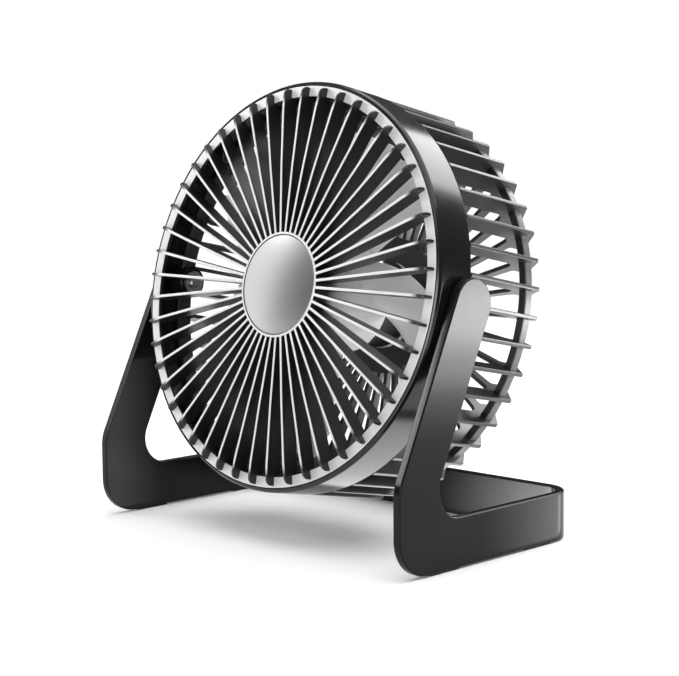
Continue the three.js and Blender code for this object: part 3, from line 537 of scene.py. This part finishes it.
def build_stand():
    """A bent sheet: two side plates joined round the corners by the rear bar, in one skin."""
    bm = bmesh.new()
    outline = arm_outline()
    seam = STAND_REAR - STAND_CORNER
    inner_corner = STAND_CORNER - PLATE
    corner_x = STAND_HALF_WIDTH - STAND_CORNER
    seams = {}
    for side in (-1, 1):
        faces = []
        for x in (STAND_HALF_WIDTH, STAND_HALF_WIDTH - PLATE):
            faces.append([bm.verts.new((side * x, p.x, p.y)) for p in outline])
            bm.faces.new(faces[-1])
        # The edge between the outline's last two points stays open: the corner's skin starts there.
        outer, inner = faces
        for k in range(-1, len(outline) - 2):
            bm.faces.new((outer[k], outer[k + 1], inner[k + 1], inner[k]))
        seams[side] = [outer[-1], outer[-2], inner[-2], inner[-1]]
    steps = 10
    turns = [math.pi / 2 * (k + 1) / steps for k in range(steps)]
    section = [(STAND_CORNER, STAND_BOTTOM), (STAND_CORNER, BASE_TOP)]
    section += [(inner_corner, BASE_TOP), (inner_corner, STAND_BOTTOM)]
    rings = [seams[1]]
    for side, angles in ((1, turns), (-1, turns[::-1])):
        for angle in angles:
            ring = []
            for radius, z in section:
                x = side * (corner_x + radius * math.cos(angle))
                ring.append(bm.verts.new((x, seam + radius * math.sin(angle), z)))
            rings.append(ring)
    rings.append(seams[-1])
    for first, second in zip(rings, rings[1:]):
        join(bm, first, second)
    bmesh.ops.recalc_face_normals(bm, faces=bm.faces)
    bevel_sharp(bm, 0.5, 3)
    make_piece("stand", bm, "stand", ["stand_frame"], ["stand_plastic"], ROW)


def build_foot_pads():
    """Thin rubber pads with rounded ends."""
    for name in [n for n in frame["nodes"] if n.startswith("foot_pad")]:
        low, high = (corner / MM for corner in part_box(name))
        middle = (low + high) / 2
        half = (high - low) / 2
        end = half.x * 0.96
        outline = rounded(rectangle(-half.x, half.x, -half.y, half.y, end), 5)
        template = plate_template([Vector((p.x, -p.y)) for p in outline], 2 * half.z, 0.2)
        bm = bmesh.new()
        add_copy(bm, template, Matrix.Translation(middle))
        make_piece(f"{name}_rubber", bm, "stand", [name], ["rubber"], ROW)


# ---- Head --------------------------------------------------------------------------------------------


def build_front_ring():
    """The casing band with its chamfered lip, the two inner ears and the screw bosses."""
    bm = bmesh.new()
    seat = GRILLE_SEAT - 0.3
    lip = RIM_OUTER + 0.3
    profile = rounded(
        [
            (RING_INNER, RING_REAR, 0.4),
            (RING_RADIUS, RING_REAR, 0.4),
            (RING_RADIUS, RING_FRONT - 1.2, 0.5),
            (RING_RADIUS - 0.5, RING_FRONT - 0.35, 0.5),
            (lip, RING_FRONT, 0.12),
            (lip, seat, 0.1),
            (RING_INNER, seat, 0.1),
        ],
        4,
    )
    lathe(bm, profile)
    for side in (0, math.pi):
        turn = Matrix.Rotation(-side, 4, "Y") @ Matrix.Rotation(math.pi / 2, 4, "Z")
        rounded_rod(bm, EAR_RADIUS, EAR_INNER, RING_RADIUS - 0.6, 0.5, MEDIUM_ROUND, turn)
    for angle in QUARTERS:
        rounded_rod(bm, BOSS_RADIUS, BOSS_REAR, BOSS_FRONT, 0.3, SMALL_ROUND, around(angle, LUG_CIRCLE))
    make_piece("casing_ring", bm, "head", ["front_ring"], ["casing_plastic"])


def spoke_outline():
    """A spoke's side: a front edge that bulges forwards, and a rounded nose over the rim."""
    root_rear, root_front = 8.8, HUB_RING_FRONT - 0.1
    return rounded(
        [
            (SPOKE_ROOT, root_front),
            (40, 15.7, 80),
            (60, 16.1, 30),
            (SPOKE_NOSE, 15.8, 2.3),
            (SPOKE_NOSE, 12.2),
            (64.4, 12, 0.3),
            (62.8, 10.2, 1.2),
            (SPOKE_ROOT, root_rear),
        ],
        7,
    )


def build_front_grille():
    """A flat rim and a hub ring with the disc's seat, joined by thin radial blades, and the rim's clips."""
    bm = bmesh.new()
    rounded_ring(bm, RIM_INNER, RIM_OUTER, GRILLE_SEAT, RING_FRONT, 0.2)
    seat_rear, seat_front = 12, 13.5
    seat_hole, wall_inner = 2.2, 16
    recess = DISC_RADIUS + 0.08
    hub = rounded(
        [
            (seat_hole, seat_rear),
            (wall_inner, seat_rear),
            (wall_inner, HUB_RING_REAR),
            (HUB_RING_RADIUS, HUB_RING_REAR, 0.3),
            (HUB_RING_RADIUS, HUB_RING_FRONT, 0.35),
            (recess, HUB_RING_FRONT, 0.2),
            (recess, seat_front),
            (seat_hole, seat_front),
        ],
        3,
    )
    lathe(bm, hub, MEDIUM_ROUND)
    for k in range(CLIPS):
        clip = bmesh.ops.create_cube(bm, size=1)["verts"]
        middle = around(TAU * (k + 0.5) / CLIPS, CLIP_CIRCLE) @ Matrix.Translation((0, -CLIP_AXIAL, 0))
        bmesh.ops.transform(bm, matrix=middle @ Matrix.Diagonal((*CLIP_SIZE, 1)), verts=clip)
    first_spoke_face = len(bm.faces)
    template = plate_template(spoke_outline(), SPOKE_WIDTH, 0.22)
    for k in range(SPOKES):
        add_copy(bm, template, around(FIRST_SPOKE + TAU * k / SPOKES))
    bm.faces.index_update()
    bm.normal_update()

    def paint(face):
        """0 is bare plastic, 1 the silver on the spokes' front edges and 2 that on the front faces of the rim and
        hub ring: both are painted highlight on faces that look forwards.
        """
        forwards = -face.normal.y
        if face.index >= first_spoke_face:
            # Spoke faces that look forwards get silver: a painted highlight on their front edges.
            return 1 if forwards > 0.75 else 0
        axial = -face.calc_center_median().y
        # Forward faces of the rim and hub ring get silver: a painted highlight.
        return 2 if forwards > 0.45 and axial > GRILLE_SEAT + 1 else 0

    surfaces = ["grille_plastic", "edge_highlight_silver", "silver_and_painted_highlight"]
    make_piece("radial_grille", bm, "head", ["front_grille"], surfaces, paint=paint)


def build_hub_disc():
    """A thin disc, slightly domed, with a fine bright chamfer round its edge."""
    bm = bmesh.new()
    steps = 20
    curve = []
    for k in range(steps + 1):
        share = 1 - k / steps
        curve.append((DISC_RADIUS * 0.985 * share, DISC_EDGE_FRONT + DISC_DOME * (1 - share**2)))
    edge = [(0, DISC_REAR), (DISC_RADIUS, DISC_REAR), (DISC_RADIUS, DISC_EDGE_FRONT - 0.25)]
    lathe(bm, edge + curve, MEDIUM_ROUND)
    make_piece("centre_disc", bm, "head", ["hub_disc"], ["disc_aluminium"])


def fin_outline(front):
    """A fin's L: a side that starts at front, a floor that runs in to the hub, and the sloping tab."""
    side_inner, side_end = 62.4, -32.6
    root, root_front = HUB_PLATE_RADIUS - 0.8, -38.8
    return rounded(
        [
            (RING_RADIUS, front, 0.3),
            (side_inner, front, 0.3),
            (side_inner, side_end, 4),
            (root, root_front),
            (root, HUB_WALL_REAR + 0.4),
            (TAB_INNER, FIN_REAR - 1, 0.8),
            (TAB_INNER, TAB_REAR, 0.7),
            (RING_RADIUS, FIN_REAR, 0.6),
        ],
        5,
    )


def build_rear_grille():
    """The cage: fins that stop short of the pivots' ears, two rings, the hub plate and the screw lugs."""
    bm = bmesh.new()
    clearance = EAR_RADIUS + 0.5
    plain = plate_template(fin_outline(FIN_FRONT), FIN_WIDTH, 0.28)
    for k in range(FINS):
        angle = FIRST_FIN + TAU * k / FINS
        height = abs(RING_RADIUS * math.sin(angle)) - FIN_WIDTH / 2
        template = plain
        if height < clearance:
            relief = math.sqrt(clearance**2 - max(height, 0) ** 2)
            template = plate_template(fin_outline(min(FIN_FRONT, -relief)), FIN_WIDTH, 0.28)
        add_copy(bm, template, around(angle))
    rounded_ring(bm, FRONT_RING_INNER, FRONT_RING_OUTER, FIN_FRONT - 0.5, LUG_FRONT, 0.3)
    rounded_ring(bm, REAR_RING_INNER, REAR_RING_OUTER, FIN_REAR + 0.6, FIN_REAR + 4.1, 0.5)
    wall_inner = HUB_PLATE_RADIUS - 2
    hub = rounded(
        [
            (COLLAR_RADIUS, HUB_PLATE_REAR, 0.2),
            (COLLAR_RADIUS, HUB_PLATE_FRONT, 0.3),
            (HUB_PLATE_RADIUS, HUB_PLATE_FRONT, 0.6),
            (HUB_PLATE_RADIUS, HUB_WALL_REAR, 0.4),
            (wall_inner, HUB_WALL_REAR, 0.3),
            (wall_inner, HUB_PLATE_REAR, 0.3),
        ],
        3,
    )
    lathe(bm, hub, MEDIUM_ROUND)
    for angle in QUARTERS:
        place = around(angle, LUG_CIRCLE)
        rounded_ring(bm, LUG_BORE, LUG_RADIUS, LUG_REAR, LUG_FRONT, 0.15, SMALL_ROUND, 2, place)
    bm.normal_update()

    def paint(face):
        """0 is the dark cage, 1 the fins' outer edges, in a lighter plastic that paints the highlight they catch,
        and 2 the outer face of the rear ring.
        """
        centre = face.calc_center_median()
        outwards = Vector((centre.x, 0, centre.z))
        radius = outwards.length
        if face.normal.dot(outwards.normalized()) < 0.7 or centre.y < -FIN_FRONT:
            return 0
        # Outward faces at the fins' outer edges get the lighter plastic: a painted highlight.
        if radius > RING_RADIUS - 0.4:
            return 1
        return 2 if REAR_RING_OUTER - 0.6 < radius < REAR_RING_OUTER + 0.1 else 0

    surfaces = ["cage_plastic", "cage_edge_highlight", "cage_band"]
    make_piece("rear_cage", bm, "head", ["rear_grille"], surfaces, paint=paint)


def boolean(bm, cutters):
    """Cuts the cutters, each a closed bmesh, out of bm, and returns the result as a new bmesh."""
    objects = []
    for part in (bm, *cutters):
        bmesh.ops.recalc_face_normals(part, faces=part.faces)
        mesh = bpy.data.meshes.new("cut")
        part.to_mesh(mesh)
        part.free()
        objects.append(bpy.data.objects.new("cut", mesh))
        bpy.context.scene.collection.objects.link(objects[-1])
    target, *tools = objects
    for tool in tools:
        modifier = target.modifiers.new("cut", "BOOLEAN")
        modifier.operation = "DIFFERENCE"
        modifier.solver = "EXACT"
        modifier.object = tool
    shown = target.evaluated_get(bpy.context.evaluated_depsgraph_get())
    result = bmesh.new()
    result.from_mesh(shown.to_mesh())
    for obj in objects:
        bpy.data.objects.remove(obj)
    return result


def box_bmesh(low, high):
    """A box between two corners."""
    bm = bmesh.new()
    low, high = Vector(low), Vector(high)
    verts = bmesh.ops.create_cube(bm, size=1)["verts"]
    shape = Matrix.Translation((low + high) / 2) @ Matrix.Diagonal((*(high - low), 1))
    bmesh.ops.transform(bm, matrix=shape, verts=verts)
    return bm


def build_rear_cover():
    """The shallow dish over the controls, with its button hole, screw recesses and inlet notch."""
    hole = BUTTON_RADIUS + 0.3
    ceiling = COVER_REAR + 1.2
    wall_inner = HUB_PLATE_RADIUS - 1.6
    bm = bmesh.new()
    profile = rounded(
        [
            (hole, COVER_REAR, 0.35),
            (HUB_PLATE_RADIUS, COVER_REAR, 2.6),
            (HUB_PLATE_RADIUS, COVER_FRONT, 0.2),
            (wall_inner, COVER_FRONT, 0.2),
            (wall_inner, ceiling, 1.2),
            (hole, ceiling, 0.2),
        ],
        6,
    )
    lathe(bm, profile, MEDIUM_ROUND)
    cutters = []
    for angle in COVER_SCREW_ANGLES:
        recess = bmesh.new()
        place = around(angle, COVER_SCREW_CIRCLE)
        rounded_rod(recess, SCREW_HEAD_RADIUS + 0.3, COVER_REAR - 2, COVER_REAR + 1, 0.2, SMALL_ROUND, place)
        cutters.append(recess)
    notch = INLET_HALF_WIDTH + 0.4
    low = (-notch, -COVER_FRONT - 1, INLET_MOUTH - 3)
    high = (notch, -COVER_REAR - 1, INLET_MOUTH + 3)
    cutters.append(box_bmesh(low, high))
    cut = boolean(bm, cutters)
    make_piece("control_cover", cut, "head", ["rear_cover"], ["cage_plastic"])


def build_cover_screws():
    """Pan-head screws with a cross recess."""
    for k, angle in enumerate(COVER_SCREW_ANGLES):
        head = bmesh.new()
        front, rear = COVER_REAR + 1.3, COVER_REAR + 0.3
        profile = [(0, rear), (1.2, rear + 0.02), (1.75, rear + 0.2)]
        profile += [(SCREW_HEAD_RADIUS, rear + 0.55), (SCREW_HEAD_RADIUS, front)]
        profile += [(SCREW_SHANK_RADIUS, front), (SCREW_SHANK_RADIUS, SCREW_TIP - 0.8)]
        profile += [(0.3, SCREW_TIP), (0, SCREW_TIP)]
        lathe(head, profile, SMALL_ROUND)
        cross = []
        for x, z in ((1.2, 0.25), (0.25, 1.2)):
            cross.append(box_bmesh((-x, -rear - 0.45, -z), (x, -rear + 1, z)))
        screw = boolean(head, cross)
        bmesh.ops.transform(screw, matrix=around(angle, COVER_SCREW_CIRCLE), verts=screw.verts)
        make_piece(f"cover_screw_head_{k + 1}", screw, "head", [f"cover_screw_{k + 1}"], ["steel"])


def build_button():
    """A dished cap with a rounded rim and a flange that holds it inside the cover."""
    bm = bmesh.new()
    face = COVER_REAR - 1
    flange = BUTTON_RADIUS + 1.2
    flange_rear, flange_front = face + 2.4, face + 3
    profile = rounded(
        [
            (BUTTON_RADIUS - 1.2, face + 0.05, 0.5),
            (BUTTON_RADIUS, face, 0.6),
            (BUTTON_RADIUS, flange_rear),
            (flange, flange_rear, 0.2),
            (flange, flange_front, 0.2),
        ],
        4,
    )
    depth = 0.5
    dish = [(r, face + depth - 0.45 * (r / 4.5) ** 2) for r in (1.5, 3.0, 4.2)]
    lathe(bm, [(0, face + depth), *dish, *profile[1:], (0, flange_front)], MEDIUM_ROUND)
    make_piece("push_button", bm, "button", ["button_cap"], ["silver_and_painted_highlight"])


def build_usb_inlet():
    """A drawn steel shell with rounded ends, open at its mouth."""
    bm = bmesh.new()
    front, rear, mouth, back = -INLET_FRONT, -INLET_REAR, INLET_MOUTH, INLET_BACK
    radius = (rear - front) / 2 - 0.02
    middle = (front + rear) / 2

    def section(inset, z):
        """A ring of points this far inside the shell's outline."""
        half = INLET_HALF_WIDTH - inset
        corners = rectangle(-half, half, front + inset, rear - inset, max(radius - inset, 0.1))
        return [bm.verts.new((p.x, p.y, z)) for p in rounded(corners, 8)]

    rings = [section(0, back), section(0, mouth + 0.1), section(0.1, mouth), section(0.3, mouth)]
    rings += [section(0.35, mouth + 0.1), section(0.35, back + 0.8)]
    for first, second in zip(rings, rings[1:]):
        join(bm, first, second)
    bm.faces.new(rings[0])
    bm.faces.new(rings[-1])
    make_piece("usb_shell", bm, "head", ["usb_inlet"], ["steel"])

    tongue = box_bmesh((-3.2, middle - 0.35, mouth + 1), (3.2, middle + 0.35, back - 0.9))
    bevel_sharp(tongue, 0.12)
    make_piece("usb_tongue", tongue, "head", ["usb_contact_tongue"], ["component_black"])


def build_motor_can():
    """A drawn steel can with a rounded shoulder and a bearing collar."""
    bm = bmesh.new()
    inner = CAN_RADIUS - CAN_WALL
    wall_front = CAN_FRONT - 1.2
    collar_front = CAN_FRONT + 1.6
    profile = rounded(
        [
            (COLLAR_BORE, wall_front),
            (COLLAR_BORE, collar_front, 0.2),
            (COLLAR_RADIUS, collar_front, 0.3),
            (COLLAR_RADIUS, CAN_FRONT, 0.4),
            (CAN_RADIUS, CAN_FRONT, 1.4),
            (CAN_RADIUS, CAN_REAR, 0.15),
            (inner, CAN_REAR, 0.15),
            (inner, wall_front, 0.5),
        ],
        5,
    )
    lathe(bm, profile, MEDIUM_ROUND)
    make_piece("motor_housing", bm, "head", ["motor_can"], ["can_steel"])


# ---- Impeller ----------------------------------------------------------------------------------------


def blade_point(t, s, root):
    """The middle of a blade: t runs from its root to its tip, and s from its front edge to its rear edge."""
    radius = root + (BLADE_TIP - root) * t
    front_angle = BLADE_ROOT_ANGLE + BLADE_SWEEP * (radius - IMPELLER_HUB)
    angle = front_angle - BLADE_WRAP * s
    camber = BLADE_CAMBER * math.sin(math.pi * s)
    axial = BLADE_FRONT + (BLADE_REAR - BLADE_FRONT) * s - camber
    reach = radius - BLADE_TIP_DROP * (2 * s - 1) ** 2 * max(0.0, 4 * t - 3)
    return Vector((reach * math.cos(angle), -axial, reach * math.sin(angle)))


def add_blade(bm, root, matrix):
    """One blade: a cambered skin that is thickest at its middle, with round edges."""
    along, across = 24, 24
    step = 1e-3
    sides = []
    for face in (1, -1):
        grid = []
        for i in range(along + 1):
            t = i / along
            row = []
            for j in range(across + 1):
                s = (1 - math.cos(math.pi * j / across)) / 2
                point = blade_point(t, s, root)
                outwards = blade_point(t + step, s, root) - point
                rearwards = blade_point(t, s + step, root) - point
                normal = outwards.cross(rearwards).normalized()
                belly = math.sin(math.pi * min(max(s, 0.0), 1.0)) ** 0.35
                tip = min(1.0, max(0.0, (1 - t) * 22)) ** 0.5
                raised = point + normal * (face * BLADE_THICKNESS * belly * tip / 2)
                row.append(bm.verts.new(matrix @ raised))
            grid.append(row)
        sides.append(grid)
    upper, lower = sides
    for i in range(along):
        for j in range(across):
            bm.faces.new((upper[i][j], upper[i + 1][j], upper[i + 1][j + 1], upper[i][j + 1]))
            bm.faces.new((lower[i][j], lower[i][j + 1], lower[i + 1][j + 1], lower[i + 1][j]))
    for j in range(across):
        bm.faces.new((upper[0][j], upper[0][j + 1], lower[0][j + 1], lower[0][j]))
    rim = []
    for grid in sides:
        for row in grid[:-1]:
            rim += [row[0], row[-1]]
        rim += grid[-1]
    bmesh.ops.remove_doubles(bm, verts=rim, dist=1e-4)


def build_impeller():
    """A domed hub, open at its rear, with a boss for the shaft and the blades round it."""
    bm = bmesh.new()
    rear = BLADE_REAR - 0.5
    inner = IMPELLER_HUB - 1.7
    hub = rounded(
        [
            (IMPELLER_HUB, rear, 0.3),
            (IMPELLER_HUB, 0.4, 4.5),
            (14.6, 5.6, 6),
            (0.01, 6.3),
            (0.01, 4.9),
            (12.5, 3.4, 3),
            (inner, -2.6, 3),
            (inner, rear, 0.3),
        ],
        6,
    )
    lathe(bm, hub, MEDIUM_ROUND)
    rounded_ring(bm, SHAFT_BORE, SHAFT_BOSS, SHAFT_BOSS_REAR, SHAFT_BOSS_FRONT, 0.25, SMALL_ROUND)
    for k in range(BLADES):
        add_blade(bm, IMPELLER_HUB - 0.9, around(TAU * k / BLADES))
    make_piece("fan_impeller", bm, "spinner", ["impeller"], ["blade_plastic"])


# ---- CAD nodes that stay -----------------------------------------------------------------------------


def finish_cad_nodes():
    """Gives each CAD node that stays its material."""
    slots = {row["node"]: row["material_slot"] for row in frame["record"]["subparts"]}
    surfaces = {
        "black_plastic": "casing_plastic",
        "silver_grille": "silver_and_painted_highlight",
        "brushed_disc": "disc_aluminium",
        "grey_blades": "blade_plastic",
    }
    for name, node in frame["nodes"].items():
        if node.hide_render:
            continue
        slot = slots[name]
        node.data.materials.clear()
        node.data.materials.append(MATERIALS[surfaces.get(slot, slot)])


# ---- Stage -------------------------------------------------------------------------------------------


def build_camera():
    """A long lens from the front right, a little above the fan."""
    place = Vector((0.3927, -0.3912, 0.1233))
    forward = Vector((-0.70163, 0.70498, -0.10350)).normalized()
    camera = bpy.data.objects.new("camera", bpy.data.cameras.new("camera"))
    camera.data.lens = 85.62
    camera.data.sensor_width = 36
    camera.data.clip_start = 0.01
    camera.data.clip_end = 50
    level = forward.to_track_quat("-Z", "Y").to_matrix().to_4x4()
    roll = Matrix.Rotation(math.radians(-0.46), 4, "Z")
    camera.matrix_world = Matrix.Translation(place) @ level @ roll
    bpy.context.scene.collection.objects.link(camera)
    bpy.context.scene.camera = camera


def receivers(name, objects):
    """A collection of the only objects that some of the lights shine on."""
    lit = bpy.data.collections.new(name)
    for obj in objects:
        lit.objects.link(obj)
    return lit


def softbox(name, place, target, width, height, radiance, only=None):
    """An area light at a place, turned to a target, all in millimetres."""
    light = bpy.data.lights.new(name, "AREA")
    light.shape = "RECTANGLE"
    light.size = width * MM
    light.size_y = height * MM
    light.energy = radiance * math.pi * light.size * light.size_y
    obj = bpy.data.objects.new(name, light)
    place, target = Vector(place) * MM, Vector(target) * MM
    turn = (target - place).to_track_quat("-Z", "Y").to_matrix().to_4x4()
    obj.matrix_world = Matrix.Translation(place) @ turn
    obj.visible_camera = False
    obj.light_linking.receiver_collection = only
    bpy.context.scene.collection.objects.link(obj)


def strip_row(name, first, last, towards, height, count, radiance, power, only):
    """Strips side by side from first to last, close to a face, each lighter than the one before."""
    first, last = Vector(first), Vector(last)
    width = (last - first).length / count
    for k in range(count):
        share = (k + 0.5) / count
        place = first.lerp(last, share)
        softbox(name, place, place + Vector(towards), width, height, radiance * share**power, only)


def build_lights():
    """Softboxes round the fan, then near strips that only shade the stand's faces."""
    pieces = [o for o in bpy.context.scene.objects if o.type == "MESH" and o.name != "floor"]
    stand_only = receivers("stand_only", [o for o in pieces if o.name == "stand"])
    head_only = receivers("head_only", [o for o in pieces if o.name != "stand"])

    softbox("key_left", (-740, -430, 300), (0, 0, 80), 420, 560, 1.9)
    softbox("arm_edge", (-640, -485, 520), (0, 0, 60), 150, 150, 9.0)
    softbox("front_top", (60, -620, 640), (0, 0, 80), 420, 300, 2.0)
    softbox("front_right", (260, -760, 200), (0, 0, 80), 300, 300, 8.0)
    softbox("rear_rim", (50, 560, 385), (20, 0, 90), 330, 240, 6.0)
    softbox("low_rear", (42, 12, 2), (42, 12, 100), 62, 56, 2.2, head_only)
    softbox("arm_front", (-277, -342, 247), (73, -42, 70), 160, 160, 12.0, stand_only)

    panel_width, stand_share = 130, 1.4
    for low, high, radiance in ((15, 30, 1.6), (30, 48, 8.3), (48, 80, 18.5)):
        middle = (low + high) / 2
        place, target = (202, 142, middle), (73, -10, middle)
        softbox("right_panel", place, target, panel_width, high - low, radiance, head_only)
        radiance *= stand_share
        softbox("right_panel_stand", place, target, panel_width, high - low, radiance, stand_only)

    left, rearwards = (-1, 0, 0), (0, 1, 0)
    strip_row("arm_strip", (-65, -17, 28), (-65, -45, 28), left, 54, 12, 3.0, 1.0, stand_only)
    strip_row("base_strip", (77, -4, 7.5), (77, 50, 7.5), left, 14.6, 18, 6.8, 1.5, stand_only)
    strip_row("bar_strip", (3, 34, 7.5), (67, 34, 7.5), rearwards, 14.6, 20, 23.0, 1.8, stand_only)

    sun = bpy.data.lights.new("sky", "SUN")
    sun.energy = 3.05
    sun.angle = math.radians(80)
    sky = bpy.data.objects.new("sky", sun)
    sky.rotation_euler = (math.radians(-12), math.radians(6), 0)
    bpy.context.scene.collection.objects.link(sky)


def build_world():
    """White where the camera looks past the floor, and for the rest a dark room with a lighter ceiling."""
    world = bpy.data.worlds.new("studio")
    world.use_nodes = True
    tree = world.node_tree
    tree.nodes.clear()
    output = tree.nodes.new("ShaderNodeOutputWorld")
    mix = tree.nodes.new("ShaderNodeMixShader")
    path = tree.nodes.new("ShaderNodeLightPath")
    room = tree.nodes.new("ShaderNodeBackground")
    direction = tree.nodes.new("ShaderNodeTexCoord")
    split = tree.nodes.new("ShaderNodeSeparateXYZ")
    ceiling = tree.nodes.new("ShaderNodeMapRange")
    tree.links.new(direction.outputs["Generated"], split.inputs["Vector"])
    tree.links.new(split.outputs["Z"], ceiling.inputs["Value"])
    for socket, value in (("From Min", 0.1), ("From Max", 0.9), ("To Min", 0.03), ("To Max", 0.4)):
        ceiling.inputs[socket].default_value = value
    tree.links.new(ceiling.outputs["Result"], room.inputs["Strength"])
    backdrop = tree.nodes.new("ShaderNodeBackground")
    backdrop.inputs["Color"].default_value = (1, 1, 0.99, 1)
    backdrop.inputs["Strength"].default_value = 1.0
    tree.links.new(path.outputs["Is Camera Ray"], mix.inputs["Fac"])
    tree.links.new(room.outputs["Background"], mix.inputs[1])
    tree.links.new(backdrop.outputs["Background"], mix.inputs[2])
    tree.links.new(mix.outputs["Shader"], output.inputs["Surface"])
    bpy.context.scene.world = world


def build_floor():
    """A wide, pale, matt table that glows a little."""
    bm = bmesh.new()
    bmesh.ops.create_circle(bm, cap_ends=True, radius=30, segments=96)
    mesh = bpy.data.meshes.new("floor")
    bm.to_mesh(mesh)
    bm.free()
    floor = bpy.data.objects.new("floor", mesh)
    nodes = Nodes("floor", (0.84, 0.84, 0.83), 0.7, specular=0.0)
    cloud = nodes.range(nodes.noise(400), 0, 1)
    nodes.color(nodes.mix(cloud, (0.835, 0.835, 0.825), (0.845, 0.845, 0.835)))
    nodes.set(nodes.shader, "Emission Color", (1, 1, 0.99, 1))
    nodes.set(nodes.shader, "Emission Strength", 0.1)
    mesh.materials.append(nodes.material)
    bpy.context.scene.collection.objects.link(floor)


bpy.context.scene.view_settings.view_transform = "Standard"
build_camera()
build_stand()
build_foot_pads()
build_front_ring()
build_front_grille()
build_hub_disc()
build_rear_grille()
build_rear_cover()
build_cover_screws()
build_button()
build_usb_inlet()
build_motor_can()
build_impeller()
finish_cad_nodes()
build_floor()
build_world()
build_lights()
